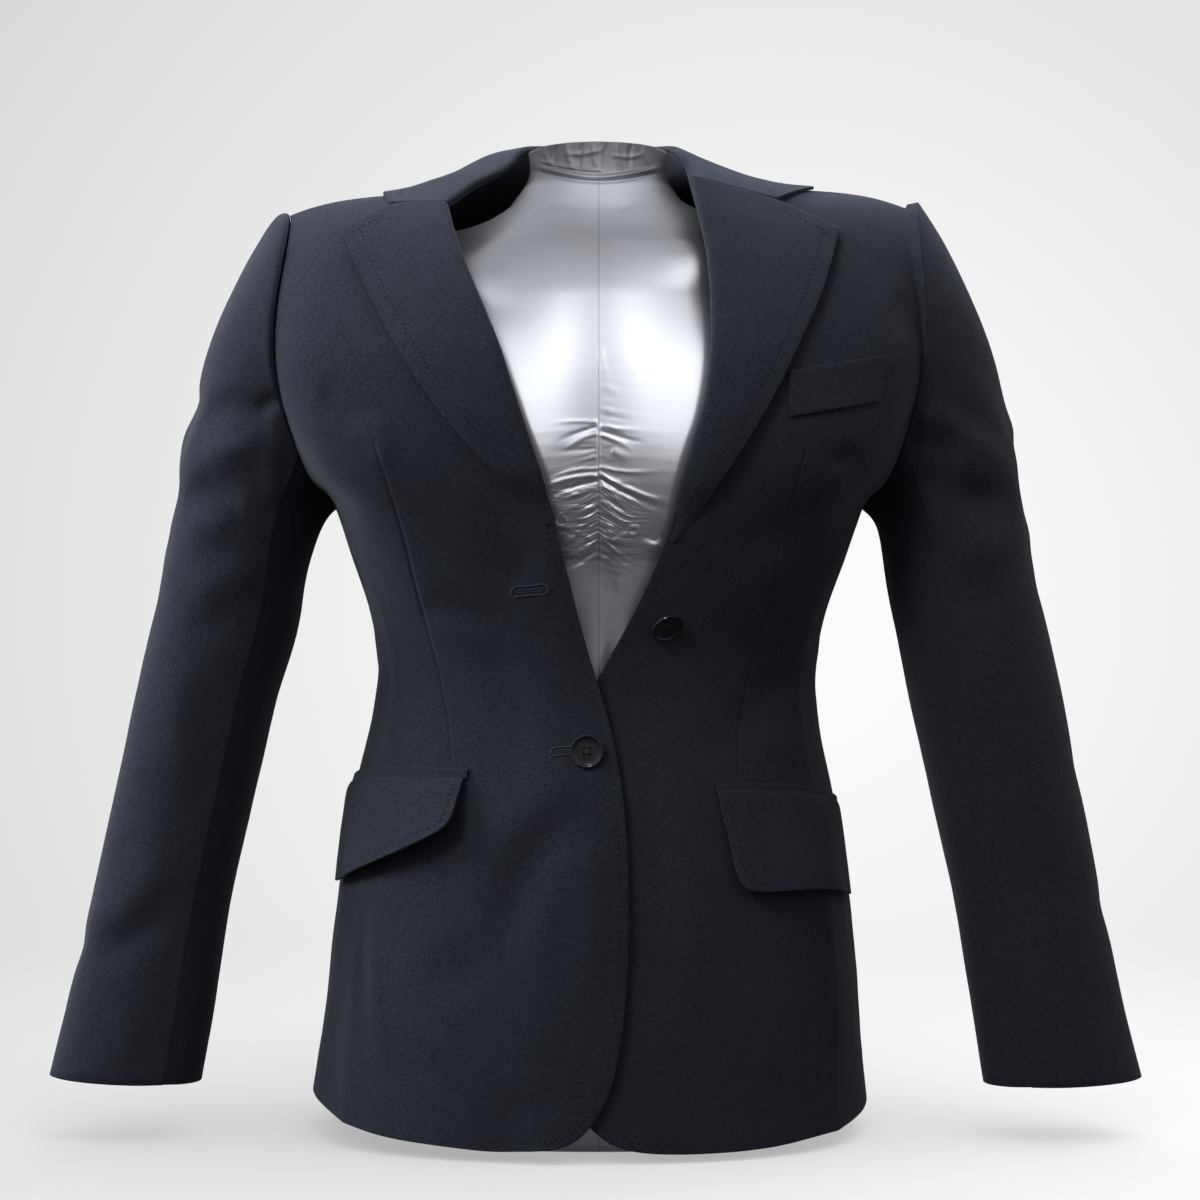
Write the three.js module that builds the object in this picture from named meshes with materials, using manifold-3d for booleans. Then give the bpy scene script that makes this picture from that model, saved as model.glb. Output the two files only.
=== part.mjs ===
// A single-breasted, two-button blazer, worn by a limbless torso form.
// Millimetres, +Z up, the front of the blazer towards -Y and the wearer's right towards -X.
// The origin is the middle of the form's flat base.
import * as THREE from 'three';
import { mergeVertices } from 'three/addons/utils/BufferGeometryUtils.js';
import Module from 'manifold-3d';

const wasm = await Module();
wasm.setup();

// ---------------------------------------------------------------- driving sizes

const CLOTH = 2; // wall of a faced piece of cloth
const TRIM = 1.3; // wall of a jet or a welt, which is pressed flat
const SEAM = 0.3; // gap between pieces that are sewn together
const FALL_AIR = 1.3; // air under the collar's fall, where it lies over the shoulders
const UNDERARM = 387; // lowest point of the armhole
const SIDES = { right: -1, left: 1 }; // the wearer's right is -X

// Each table has a line of column names, then a row for each section.
const table = (columns, ...rows) =>
  rows.map((row) => Object.fromEntries(columns.split(' ').map((name, i) => [name, row[i]])));

// The body from hem to shoulder: half widths to the wearer's right and left, depth ahead of
// the side line and behind it, and how square the ring is (2 is an ellipse).
const BODY = table(
  'z right left front back square',
  [0, 190, 178, 119, 114, 2.3],
  [45, 183, 173, 120, 114, 2.3],
  [80, 178, 170, 121, 115, 2.3],
  [120, 173, 166, 120, 114, 2.3],
  [165, 167, 161, 117, 111, 2.3],
  [210, 162, 155, 110, 103, 2.3],
  [230, 157, 151, 106, 97, 2.3],
  [255, 149, 144.5, 101, 90, 2.3],
  [281, 144.5, 142, 98, 85, 2.3],
  [314, 143.5, 143.5, 102, 86, 2.4],
  [340, 149, 149.5, 108, 91, 2.6],
  [366, 157.5, 159.5, 114, 96, 2.9],
  [387, 167, 169, 118, 100, 3.2],
  [421, 186, 188, 123, 104, 4],
  [464, 203, 204, 121, 106, 4],
  [489, 211, 212, 117, 106, 4],
  [542, 215, 215, 104, 103, 4],
  [610, 216, 216, 90, 96, 4],
);
// The shoulder line, by its distance from the centre. Inside the neck it is only a guide.
const SHOULDER = table(
  'x z',
  [0, 668], [40, 642], [60, 627], [75, 618], [90, 612], [110, 607.5],
  [131, 605], [153, 603.5], [176, 600], [190, 596], [200, 592], [216, 587],
);
const SHOULDER_TILT = 0.012; // the left shoulder is held a little higher than the right one
const CREST = { square: 3.2, round: 1.9 }; // how the chest turns over to the shoulder line
const ARMHOLE = { front: 70, back: 60, middle: 475, top: 200 };
const NECK = { right: 0.4, left: 0.35, back: 0.7 }; // neck points as a share of the half width
const SIDE_SEAM = { front: 138, back: 222 }; // where the side panel meets the armhole, in degrees

// Hem height round the body, in degrees from the centre front.
const HEM = table(
  'angle right left',
  [0, 8.5, 6], [18, 7, 5.8], [24, 8, 5.8], [30, 9.3, 6.2], [40, 11, 8], [47, 13.5, 10.4],
  [55, 16.5, 11], [62, 20.5, 12.4], [72, 24, 16], [90, 26, 22.5], [130, 24, 23], [180, 22, 22],
);
// The side panel's two seams, in degrees from the centre front.
const PANEL_SEAM = table(
  'z front back',
  [0, 53.5, 124], [80, 56, 124], [157, 59, 124], [237, 57.5, 123], [281, 57.5, 122],
  [340, 60, 119], [380, 64, 115], [410, 68, 111],
);
// The fronts' free edges: 0 is the hem corner, 1 the break of the lapel, 1.77 the top of the roll.
const EDGE = {
  right: table(
    'at x z',
    [0, -47, 8], [0.03, -34, 9], [0.06, -22, 10.8], [0.09, -11.5, 15.6], [0.13, -1, 27.5],
    [0.19, 9.5, 48], [0.27, 17.2, 92], [0.4, 19.2, 155], [0.55, 15.5, 224], [0.68, 2.5, 280],
    [0.82, -11, 324], [1, -26, 388], [1.12, -37, 417], [1.25, -52, 462], [1.38, -64, 500],
    [1.5, -77, 530], [1.62, -89, 560], [1.77, -97, 588],
  ),
  left: table(
    'at x z',
    [0, 36, 6.4], [0.03, 26, 7.4], [0.06, 16, 9.2], [0.09, 6.5, 13], [0.13, -4, 20.8],
    [0.19, -18, 40], [0.27, -26, 80], [0.4, -28, 150], [0.55, -26.5, 222], [0.62, -20, 248],
    [0.68, -11, 271], [0.745, 0, 291], [0.82, 15, 319], [0.91, 31, 347], [1, 42.7, 377], [1.12, 56, 425],
    [1.25, 67, 460], [1.4, 72, 505], [1.58, 70, 553], [1.7, 64.5, 585], [1.77, 60.5, 604],
  ),
};
const ROLL_TOP = 1.77;
// Rows of the cut panels: up to the break and the underarm, then up the roll and the armhole.
const ROWS_LOW = [0, 0.03, 0.06, 0.09, 0.13, 0.19, 0.28, 0.41, 0.53, 0.62, 0.7, 0.78, 0.88, 1];
const ROWS_HIGH = [1, 1.12, 1.24, 1.36, 1.48, 1.59, 1.69, 1.77, 1.85, 1.93, 2];
// Points of the armhole, in degrees, which the front, side, back and sleeve share.
const ARM = {
  front: [138, 120, 102, 84, 67, 51, 37, 25, 16, 8, 0],
  side: [138, 159, 180, 201, 222],
  back: [222, 238, 255, 272, 289, 305, 320, 333, 344, 352, 360],
};
const LAP = { lift: 3.6, from: -50, to: -32 }; // the right front rides over the left one

// The lapels' outer edges from the break (0) to the tip (1), and how proud they stand.
const LAPEL = {
  right: table(
    'at x z out',
    [0, -29.5, 385.5, 2.7], [0.09, -47, 403, 5], [0.25, -72, 428, 6.5], [0.41, -96, 456, 6],
    [0.61, -121, 493, 4.5], [0.81, -142, 530, 3.6], [1, -160, 570.5, 3],
  ),
  left: table(
    'at x z out',
    [0, 45.5, 374.5, 2.7], [0.04, 50, 382, 3], [0.1, 68, 404, 3.4], [0.21, 86.5, 431, 3.6],
    [0.36, 105, 462, 3.6], [0.52, 121, 493.5, 3.4], [0.73, 138, 531, 3], [1, 150, 570.5, 2.8],
  ),
};
const NOTCH = { right: { x: -131, z: 588, at: 0.5 }, left: { x: 112, z: 590, at: 0.56 } };
// The turn of a lapel or the collar over its roll: along the cloth, and out from it.
const TURN = table('along out', [-1.6, -1.2], [-2.1, 0.3], [-1.4, 1.9], [0.6, 2.7]);

// The collar from the right gorge (-1) past the centre back (0) to the left gorge (1): the roll,
// the middle of the fall and the fall's edge, and how far the roll leans from upright.
const COLLAR = table(
  'at rollX rollY rollZ midX midY midZ edgeX edgeY edgeZ',
  [-0.9, -80, -22, 606, -104, -14, 609.5, -133, -3, 604],
  [-0.75, -62, 5, 620, -91, 8, 620.5, -121, 10, 606.5],
  [-0.5, -50, 33, 638, -76, 44, 633, -84, 43, 607],
  [-0.25, -28, 62, 643.5, -38, 73, 627, -42, 65, 604.5],
  [0, 0, 70, 645.5, 0, 80, 627, 0, 78, 603.5],
  [0.25, 26, 63, 643, 35, 73, 626, 40, 65, 604],
  [0.5, 47, 36, 639, 67, 46, 626.5, 79, 42, 606],
  [0.75, 54, 4, 630.5, 80, 8, 622, 108, 13, 609],
  [0.9, 58, -20, 620, 93, -12, 614.5, 129, -3, 607],
);
const LEAF_TIP = { right: [-139, -12, 602.5], left: [139, -12, 605] };

// The sleeves from the armhole down: the outer and inner contour seen from the front,
// the middle of the ring in Y and half its depth.
const SLEEVE = {
  right: table(
    'outX outZ inX inZ y depth',
    [-200, 592, -168, 387, -5, 65], [-206, 592, -171.5, 387, -5, 65], [-217, 573, -177, 384, -6, 63],
    [-233, 541, -181, 379, -7, 61], [-248.5, 508, -184, 374, -7, 59], [-256, 474, -187, 367, -8, 57],
    [-266, 447, -190.5, 356, -8, 55], [-270, 419, -192, 343, -9, 54], [-272, 397, -193.5, 331, -9, 53],
    [-275.5, 370, -197, 314, -10, 52], [-281.5, 340, -202.5, 296, -11, 51],
    [-290, 300, -210.5, 273, -13, 49], [-298.5, 262, -216, 243, -15, 47],
    [-307, 219, -226, 198, -18, 44], [-316, 175, -233.5, 165, -22, 40],
    [-325.5, 136, -241, 124, -26, 36], [-334, 90, -245, 82, -31, 32], [-346, 40, -253, 36, -35, 29],
  ),
  left: table(
    'outX outZ inX inZ y depth',
    [200, 592, 170, 387, -5, 65], [206, 594, 173.5, 387, -5, 65], [219, 576, 179, 384, -6, 63],
    [233, 547, 182, 381, -7, 61], [247, 515, 184, 377, -7, 59], [256, 485, 185.5, 370, -8, 57],
    [264.5, 458, 187, 357, -8, 55], [266.5, 428, 188.5, 345, -9, 54], [270.5, 402, 191.5, 331, -9, 53],
    [277, 370, 195.5, 314, -10, 52], [282, 340, 199.5, 290, -11, 51], [291.5, 303, 205, 264, -13, 49],
    [300, 260, 211.5, 235, -15, 47], [307, 217, 218, 202, -18, 44], [316, 170, 225.5, 168, -22, 40],
    [324, 126, 234, 123, -26, 36], [332, 83, 239.5, 80, -31, 32], [343, 38.5, 246, 34.5, -35, 29],
  ),
};
// The sleeve's seams start at these points of the armhole; the front one then drifts, in degrees.
const SLEEVE_SEAM = { front: 120, back: 238, drift: { right: 3, left: -3 } };
const SLEEVE_SQUARE = 2.2;
// Large folds of the sleeves, each a soft trough (depth below zero) or ridge between two places
// given in degrees round the sleeve (0 outward, 90 forward) and height.
const SLEEVE_FOLD = {
  right: table(
    'angle0 z0 angle1 z1 width depth',
    [110, 472, 60, 440, 13, -7], [40, 470, -10, 436, 12, -6], [85, 450, 45, 420, 14, 5],
    [60, 408, 0, 420, 12, -5], [20, 150, 100, 205, 16, -4],
  ),
  left: table(
    'angle0 z0 angle1 z1 width depth',
    [115, 470, 50, 440, 12, -7], [95, 440, 30, 415, 14, 5], [100, 415, 45, 392, 12, -6],
    [40, 480, 0, 452, 14, -4],
  ),
};
const GIRTH = 52; // mean radius of the sleeve, which turns degrees into lengths

// Pocket jets and flaps, in degrees from the centre front, with heights and how proud they stand.
const JET = {
  right: table('angle top bottom', [29.5, 236.2, 231], [48, 236, 229.8], [60, 235, 229],
    [71, 231.5, 225.5], [78, 228.5, 222.5]),
  left: table('angle top bottom', [27.5, 227, 223.4], [38, 227, 223.3], [48, 225.3, 221.6],
    [62, 220.5, 217], [71, 217, 213.4], [78, 214, 210.4]),
};
const FLAP = {
  right: table(
    'angle slant top bottom crest out',
    [30.2, 0.2, 229.5, 206, 3, 12], [31.5, 0.2, 228.8, 200, 3.4, 14], [34, 0, 227, 195.5, 4, 15],
    [48, 0, 220.5, 179.5, 6, 11], [60, 0, 217.5, 169.5, 5, 8], [71, 0, 218, 163, 4, 3.6],
    [78, 0, 219, 160.5, 3.5, 2.8],
  ),
  left: table(
    'angle slant top bottom crest out',
    [27.8, 2.4, 221.8, 174, 2.8, 4], [29, 2, 221.6, 166, 3, 6], [32, 1.5, 221.2, 162.3, 3, 8],
    [48, 0, 218.2, 162, 3.2, 12], [60, 0, 214.6, 158.5, 3.2, 10], [71, 0, 211, 155, 3, 3.4],
    [78, 0, 208.4, 152, 2.8, 2.6],
  ),
};
const WELT = { from: [116, 450.5], to: [172, 461.5], high: 27.5, lean: 5 };

const BUTTON = { radius: 10.4, thick: 3.6, dish: 7.2, sunk: 1.5, hole: 1, holes: 2.3 };
const BUTTONS = table(
  'name side x z tiltX tiltZ',
  ['button_lower', 'right', -6.6, 247, 0, 0],
  ['button_upper', 'left', 42, 324, 0, 0],
);

// The form: rings from its base to its shoulders, its own shoulder line, and its neck.
const FORM = table(
  'z half front back square',
  [0, 144, 90, 90, 2.3], [3, 150, 97, 95, 2.3], [8, 155, 100, 97.5, 2.3],
  [20, 158, 102, 99.5, 2.3], [60, 160, 104, 101, 2.3],
  [120, 154, 105, 101, 2.3], [165, 149, 102, 98, 2.3], [210, 141, 95, 91, 2.3],
  [255, 134, 88, 80, 2.3], [281, 131, 85, 76, 2.3], [314, 131, 89, 78, 2.4],
  [340, 137, 95, 83, 2.6], [387, 155, 106, 93, 3.2], [421, 172, 111, 97, 4],
  [464, 187, 109, 99, 4], [489, 192, 105, 99, 4], [542, 195, 93, 95, 4], [610, 196, 80, 88, 4],
);
const FORM_SHOULDER = table(
  'x z',
  [0, 612], [30, 610], [44, 606], [57, 595], [64, 587.5], [71, 581], [81, 573], [92, 567.5],
  [102, 569], [115, 581], [128, 594.5], [142, 601], [158, 600.4], [170, 595.6], [182, 586], [196, 564],
);
const FORM_NECK = table(
  'z half depth',
  [560, 62, 50], [590, 60, 52], [598, 56, 50], [605, 50.5, 48], [611, 46.5, 46.5], [617, 44.5, 46],
  [624, 44.5, 46], [630.5, 45.5, 46.7],
);
const NECK_Y = 6; // the neck's middle

// ---------------------------------------------------------------- tools

const mix = (a, b, t) => a + (b - a) * t;
const clamp = (value, low, high) => Math.min(high, Math.max(low, value));
const ease = (from, to, value) => THREE.MathUtils.smoothstep(value, from, to);
const radians = THREE.MathUtils.degToRad;
const vector = (x, y, z) => new THREE.Vector3(x, y, z);
const steps = (count) => Array.from({ length: count + 1 }, (_, i) => i / count);

// A smooth curve through one column of a table, without overshoot.
function track(rows, key, name) {
  const at = rows.map((row) => row[key]);
  const value = rows.map((row) => row[name]);
  const rise = at.slice(1).map((next, i) => (value[i + 1] - value[i]) / (next - at[i]));
  const slope = value.map((_, i) => {
    const before = rise[i - 1] ?? rise[i];
    const after = rise[i] ?? rise[i - 1];
    return before * after > 0 ? (2 * before * after) / (before + after) : 0;
  });
  return (where) => {
    const t = clamp(where, at[0], at[at.length - 1]);
    const i = clamp(at.findIndex((next) => next > t) - 1, 0, at.length - 2);
    const k = t >= at[at.length - 1] ? at.length - 2 : i;
    const span = at[k + 1] - at[k];
    const s = (t - at[k]) / span;
    const a = (1 + 2 * s) * (1 - s) ** 2 * value[k] + s * (1 - s) ** 2 * span * slope[k];
    return a + s * s * (3 - 2 * s) * value[k + 1] + s * s * (s - 1) * span * slope[k + 1];
  };
}
const tracks = (rows, key) =>
  Object.fromEntries(Object.keys(rows[0]).map((name) => [name, track(rows, key, name)]));

// A closed wall between two grids of points, its faces turned outward.
function wall(outer, inner) {
  const rows = outer.length;
  const cols = outer[0].length;
  const points = [...outer.flat(), ...inner.flat()];
  const index = (layer, j, i) => (layer * rows + j) * cols + i;
  const faces = [];
  const quad = (a, b, c, d, cut) => faces.push(...(cut ? [a, b, c, a, c, d] : [a, b, d, b, c, d]));
  for (let j = 0; j + 1 < rows; j++) {
    for (let i = 0; i + 1 < cols; i++) {
      const cut =
        outer[j][i].distanceTo(outer[j + 1][i + 1]) <= outer[j][i + 1].distanceTo(outer[j + 1][i]);
      const corner = (layer) => [
        index(layer, j, i), index(layer, j, i + 1), index(layer, j + 1, i + 1), index(layer, j + 1, i),
      ];
      quad(...corner(0), cut);
      const [a, b, c, d] = corner(1);
      quad(a, d, c, b, cut);
    }
  }
  for (let i = 0; i + 1 < cols; i++) {
    quad(index(1, 0, i), index(1, 0, i + 1), index(0, 0, i + 1), index(0, 0, i), true);
    quad(index(0, rows - 1, i), index(0, rows - 1, i + 1), index(1, rows - 1, i + 1),
      index(1, rows - 1, i), true);
  }
  for (let j = 0; j + 1 < rows; j++) {
    quad(index(0, j, 0), index(0, j + 1, 0), index(1, j + 1, 0), index(1, j, 0), true);
    quad(index(1, j, cols - 1), index(1, j + 1, cols - 1), index(0, j + 1, cols - 1),
      index(0, j, cols - 1), false);
  }
  return { points, faces };
}

// A closed skin over rings of points, with a flat cap at each end.
function skinOver(rings) {
  const around = rings[0].length;
  const points = rings.flat();
  const faces = [];
  for (let j = 0; j + 1 < rings.length; j++) {
    for (let i = 0; i < around; i++) {
      const next = (i + 1) % around;
      const [a, b] = [j * around + i, j * around + next];
      faces.push(a, b, b + around, a, b + around, a + around);
    }
  }
  // Rungs from front to back close each end, so that an end pressed flat stays a plain ridge.
  for (const [start, turn] of [[0, -1], [(rings.length - 1) * around, 1]]) {
    const at = (i) => start + ((i + around) % around);
    for (let k = 0; k < around / 2; k++) {
      const [near, far] = [around / 4 - k, around / 4 + k];
      const rungs = [[at(near - 1), at(near), at(far)], [at(near - 1), at(far), at(far + 1)]];
      for (const rung of rungs.filter((three) => new Set(three).size === 3)) {
        faces.push(...(turn > 0 ? rung : rung.reverse()));
      }
    }
  }
  return { points, faces };
}

function geometryOf({ points, faces }) {
  const volume = faces.reduce((sum, a, k) => {
    if (k % 3) return sum;
    return sum + points[a].dot(vector(0, 0, 0).crossVectors(points[faces[k + 1]], points[faces[k + 2]]));
  }, 0);
  const turned = volume < 0 ? [...faces].reverse() : faces;
  const geometry = new THREE.BufferGeometry().setFromPoints(points);
  geometry.setIndex(turned);
  return geometry;
}

function solidOf(geometry) {
  const bare = geometry.clone();
  bare.deleteAttribute('normal');
  bare.deleteAttribute('uv');
  const merged = mergeVertices(bare, 1e-3);
  return new wasm.Manifold(new wasm.Mesh({
    numProp: 3,
    vertProperties: merged.attributes.position.array,
    triVerts: new Uint32Array(merged.index.array),
  }));
}

function geometryOfSolid(solid) {
  const { vertProperties, triVerts } = solid.getMesh();
  const geometry = new THREE.BufferGeometry();
  geometry.setAttribute('position', new THREE.BufferAttribute(new Float32Array(vertProperties), 3));
  geometry.setIndex(new THREE.BufferAttribute(new Uint32Array(triVerts), 1));
  return geometry;
}

// ---------------------------------------------------------------- the body's surface

// A worn shape: rings below the underarm, and above it a chest and back that turn over to a
// shoulder line. A place on it is an angle round the body (0 at the centre front, 90 degrees at
// the wearer's left side) and a level (0 at z = 0, 1 at the underarm, 2 on the shoulder line).
function shape(rings, shoulderLine) {
  const ring = tracks(rings, 'z');
  const crest = track(shoulderLine, 'x', 'z');
  const line = (x) => crest(Math.abs(x)) + SHOULDER_TILT * x;
  const half = (side, z) => (ring.half ?? ring[side])(z);
  const rise = (x, z) => clamp((z - UNDERARM) / (line(x) - UNDERARM), 0, 1);
  const turnOver = (share) => (1 - share ** CREST.square) ** (1 / CREST.round);
  const sideOf = (x) => (x < 0 ? 'right' : 'left');

  function point(angle, level) {
    const across = Math.sin(angle);
    const ahead = Math.cos(angle);
    let z = Math.min(level, 1) * UNDERARM;
    let x = 0;
    for (let pass = 0; pass < 5; pass++) {
      const n = ring.square(z);
      const unit = (Math.abs(across) ** n + Math.abs(ahead) ** n) ** (-1 / n);
      x = across * unit * half(sideOf(across), z);
      if (level > 1) z = UNDERARM + (level - 1) * (line(x) - UNDERARM);
    }
    const n = ring.square(z);
    const unit = (Math.abs(across) ** n + Math.abs(ahead) ** n) ** (-1 / n);
    const depth = (ahead > 0 ? ring.front : ring.back)(z) * turnOver(clamp(level - 1, 0, 1));
    return vector(across * unit * half(sideOf(across), z), -ahead * unit * depth, z);
  }

  function normal(angle, level) {
    if (level > 1.9995) {
      const { x } = point(angle, level);
      return vector(line(x - 1) - line(x + 1), 0, 2).normalize();
    }
    const top = Math.min(level + 0.002, 2);
    const around = point(angle + 0.002, Math.min(level, 1.9995))
      .sub(point(angle - 0.002, Math.min(level, 1.9995)));
    return around.cross(point(angle, top).sub(point(angle, top - 0.004))).normalize();
  }

  // The place on the front or back at a given X and Z.
  function placeAt(x, z, ahead = 1) {
    const n = ring.square(z);
    const share = clamp(Math.abs(x) / half(sideOf(x), z), 0, 1);
    const angle = Math.atan2(share, ahead * (1 - share ** n) ** (1 / n));
    return [Math.sign(x) * angle, z < UNDERARM ? z / UNDERARM : 1 + rise(x, z)];
  }

  // The place at a given Y and Z, found by halving.
  function placeBeside(side, y, z) {
    const n = ring.square(z);
    let [inside, outside] = [0, half(side, z)];
    for (let pass = 0; pass < 40; pass++) {
      const x = (inside + outside) / 2;
      const depth = (y < 0 ? ring.front : ring.back)(z) * turnOver(rise(SIDES[side] * x, z));
      const reach = depth * (1 - (x / half(side, z)) ** n) ** (1 / n);
      if (reach > Math.abs(y)) inside = x;
      else outside = x;
    }
    return placeAt(SIDES[side] * inside, z, y < 0 ? 1 : -1);
  }

  return { point, normal, placeAt, placeBeside };
}

const body = shape(BODY, SHOULDER);
const shoulderAt = (x) => track(SHOULDER, 'x', 'z')(Math.abs(x)) + SHOULDER_TILT * x;

// The armhole as a ring of places: 0 degrees at the shoulder, 90 ahead, 180 under the arm.
function armhole(side, degrees) {
  const turn = radians(degrees < 0 ? degrees + 360 : degrees);
  const depth = Math.sin(turn) > 0 ? ARMHOLE.front : ARMHOLE.back;
  const top = shoulderAt(SIDES[side] * ARMHOLE.top);
  const height = Math.cos(turn) > 0 ? top - ARMHOLE.middle : ARMHOLE.middle - UNDERARM;
  const y = -depth * Math.sin(turn);
  const z = ARMHOLE.middle + height * Math.cos(turn);
  return body.placeBeside(side, turn < Math.PI ? Math.min(y, -1e-6) : Math.max(y, 1e-6), z);
}

// At the armhole, the way across its opening that the cut panels' edges face.
function openingWay(side, degrees) {
  const at = (turn) => body.point(...armhole(side, turn));
  return at(degrees + 1).sub(at(degrees - 1))
    .cross(body.normal(...armhole(side, degrees)))
    .multiplyScalar(-SIDES[side]).normalize();
}

const hemTrack = tracks(HEM, 'angle');
const hemAt = (side, angle) => hemTrack[side](THREE.MathUtils.radToDeg(Math.abs(angle))) / UNDERARM;

// A side panel seam, from the hem (0) to the armhole (1).
const seamTrack = tracks(PANEL_SEAM, 'z');
function panelSeam(side, which, along) {
  const [topAngle, topLevel] = armhole(side, SIDE_SEAM[which]);
  const angleAt = (level) => SIDES[side] * radians(seamTrack[which](level * UNDERARM));
  const foot = hemAt(side, angleAt(0));
  const level = mix(foot, topLevel, along);
  const settle = topAngle - angleAt(topLevel);
  return [angleAt(level) + settle * along ** 4, level];
}

const edgeTrack = { right: tracks(EDGE.right, 'at'), left: tracks(EDGE.left, 'at') };
const neckPoint = (side) => {
  const n = 4;
  return [SIDES[side] * Math.atan2(NECK[side], (1 - NECK[side] ** n) ** (1 / n)), 2];
};
const blend = (a, b, t) => a.map((value, i) => mix(value, b[i], t));

// The free edge of a front: hem corner, break, roll and the short stretch up to the neck point.
function frontEdge(side, at) {
  const place = (where) => body.placeAt(edgeTrack[side].x(where), edgeTrack[side].z(where));
  if (at <= ROLL_TOP) return place(at);
  return blend(place(ROLL_TOP), neckPoint(side), (at - ROLL_TOP) / (2 - ROLL_TOP));
}

// The back neckline, from the neck point (0) to the centre back (1).
function backNeck(side, along) {
  const share = NECK[side] * Math.cos(along * Math.PI / 2);
  const turned = NECK.back * Math.sin(along * Math.PI / 2);
  const level = 1 + (1 - turned ** CREST.round) ** (1 / CREST.square);
  return [SIDES[side] * Math.atan2(share, -((1 - share ** 4) ** 0.25)), level];
}

// How far the right front is lifted clear of the left one.
const lapLift = (side, { x, y }) =>
  (side === 'right' && y < 0 ? LAP.lift * ease(LAP.from, LAP.to, x) : 0);

// A point on the outside of the cloth, moved out by a distance.
function onCloth(side, place, out = 0) {
  const point = body.point(...place);
  return point.addScaledVector(body.normal(...place), lapLift(side, point) + out);
}

// ---------------------------------------------------------------- cut panels

// Places filled in between four edges, each a function of 0 to 1.
function fill({ start, end, bottom, top }, rows, cols) {
  return rows.map((v) => cols.map((u) => {
    const across = blend(start(v), end(v), u);
    const upward = blend(bottom(u), top(u), v);
    const corners = blend(blend(start(0), end(0), u), blend(start(1), end(1), u), v);
    return across.map((value, k) => value + upward[k] - corners[k]);
  }));
}

// Moves a grid's outermost points inward by half a seam.
function drawIn(grid, gap = SEAM + 0.1) {
  const rows = grid.length;
  const cols = grid[0].length;
  const pull = (point, towards) =>
    point.addScaledVector(towards.clone().sub(point).normalize(), gap / 2);
  for (const row of grid) {
    pull(row[0], row[1]);
    pull(row[cols - 1], row[cols - 2]);
  }
  for (let i = 0; i < cols; i++) {
    pull(grid[0][i], grid[1][i]);
    pull(grid[rows - 1][i], grid[rows - 2][i]);
  }
  return grid;
}

function panel(side, edges, rows, cols) {
  const places = fill(edges, rows, cols);
  const outer = drawIn(places.map((row) => row.map((place) => onCloth(side, place))));
  const inner = outer.map((row, j) =>
    row.map((point, i) => point.clone().addScaledVector(body.normal(...places[j][i]), -CLOTH)));
  return wall(outer, inner);
}

// Rows run from 0 to 1 over the lower half and from 1 to 2 over the upper half.
const ROWS = [...ROWS_LOW, ...ROWS_HIGH.slice(1)];
const armAt = (which) => (row) => {
  const last = ARM[which].length - 1;
  const i = ROWS_HIGH.findIndex((next, k) => row <= next && k > 0) - 1;
  const share = (row - ROWS_HIGH[i]) / (ROWS_HIGH[i + 1] - ROWS_HIGH[i]);
  return mix(ARM[which][i], ARM[which][Math.min(i + 1, last)], share);
};

// A front or back starts at the side panel's seam and goes on up the armhole.
function sideEdge(side, which, row) {
  return row <= 1 ? panelSeam(side, which, row) : armhole(side, armAt(which)(row));
}

function bottomEdge(side, from, to) {
  return (u) => {
    const angle = mix(from[0], to[0], u);
    return u === 0 ? from : u === 1 ? to : [angle, hemAt(side, angle)];
  };
}

function front(side) {
  return panel(side, {
    start: (v) => sideEdge(side, 'front', v * 2),
    end: (v) => frontEdge(side, v * 2),
    bottom: bottomEdge(side, panelSeam(side, 'front', 0), frontEdge(side, 0)),
    top: (u) => blend(armhole(side, 0), neckPoint(side), u),
  }, ROWS.map((row) => row / 2), steps(8));
}

function sidePanel(side) {
  const last = ARM.side.length - 1;
  return panel(side, {
    start: (v) => panelSeam(side, 'front', v),
    end: (v) => panelSeam(side, 'back', v),
    bottom: bottomEdge(side, panelSeam(side, 'front', 0), panelSeam(side, 'back', 0)),
    top: (u) => armhole(side, ARM.side[Math.round(u * last)]),
  }, ROWS_LOW, steps(last));
}

const NECK_SPANS = 5; // columns of a back along the neckline, and as many along the shoulder

function back(side) {
  const centre = SIDES[side] * Math.PI;
  const low = hemAt(side, centre);
  const high = backNeck(side, 1)[1];
  // The upper rows gather towards the neckline, as they do towards the shoulder.
  const levelAt = (row) => row <= 1
    ? mix(low, 1.05, row)
    : mix(1.05, high, Math.sin(((row - 1) * Math.PI) / 2));
  return panel(side, {
    start: (v) => sideEdge(side, 'back', v * 2),
    end: (v) => [centre, levelAt(v * 2)],
    bottom: bottomEdge(side, panelSeam(side, 'back', 0), [centre, low]),
    top: (u) => u <= 0.5
      ? blend(armhole(side, 360), backNeck(side, 0), u * 2)
      : backNeck(side, u * 2 - 1),
  }, ROWS.map((row) => row / 2), steps(NECK_SPANS * 2));
}

const cut = {};
for (const side of Object.keys(SIDES)) {
  cut[side] = { front: front(side), side: sidePanel(side), back: back(side) };
}

// How far the cut panels stand out from a point along a direction.
function cover(side, point, direction) {
  const far = 25;
  const ray = new THREE.Ray(point.clone().addScaledVector(direction, far), direction.clone().negate());
  const hit = vector(0, 0, 0);
  let nearest = Infinity;
  for (const { points, faces } of Object.values(cut[side])) {
    for (let k = 0; k < faces.length; k += 3) {
      const corners = [points[faces[k]], points[faces[k + 1]], points[faces[k + 2]]];
      if (ray.intersectTriangle(...corners, false, hit)) {
        nearest = Math.min(nearest, hit.distanceTo(ray.origin));
      }
    }
  }
  return nearest < Infinity ? far - nearest : undefined;
}

// A point laid on the cut panels, moved out by a distance.
function laid(side, place, out) {
  const point = body.point(...place);
  const normal = body.normal(...place);
  const height = cover(side, point, normal) ?? lapLift(side, point);
  return point.addScaledVector(normal, height + out);
}

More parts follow.
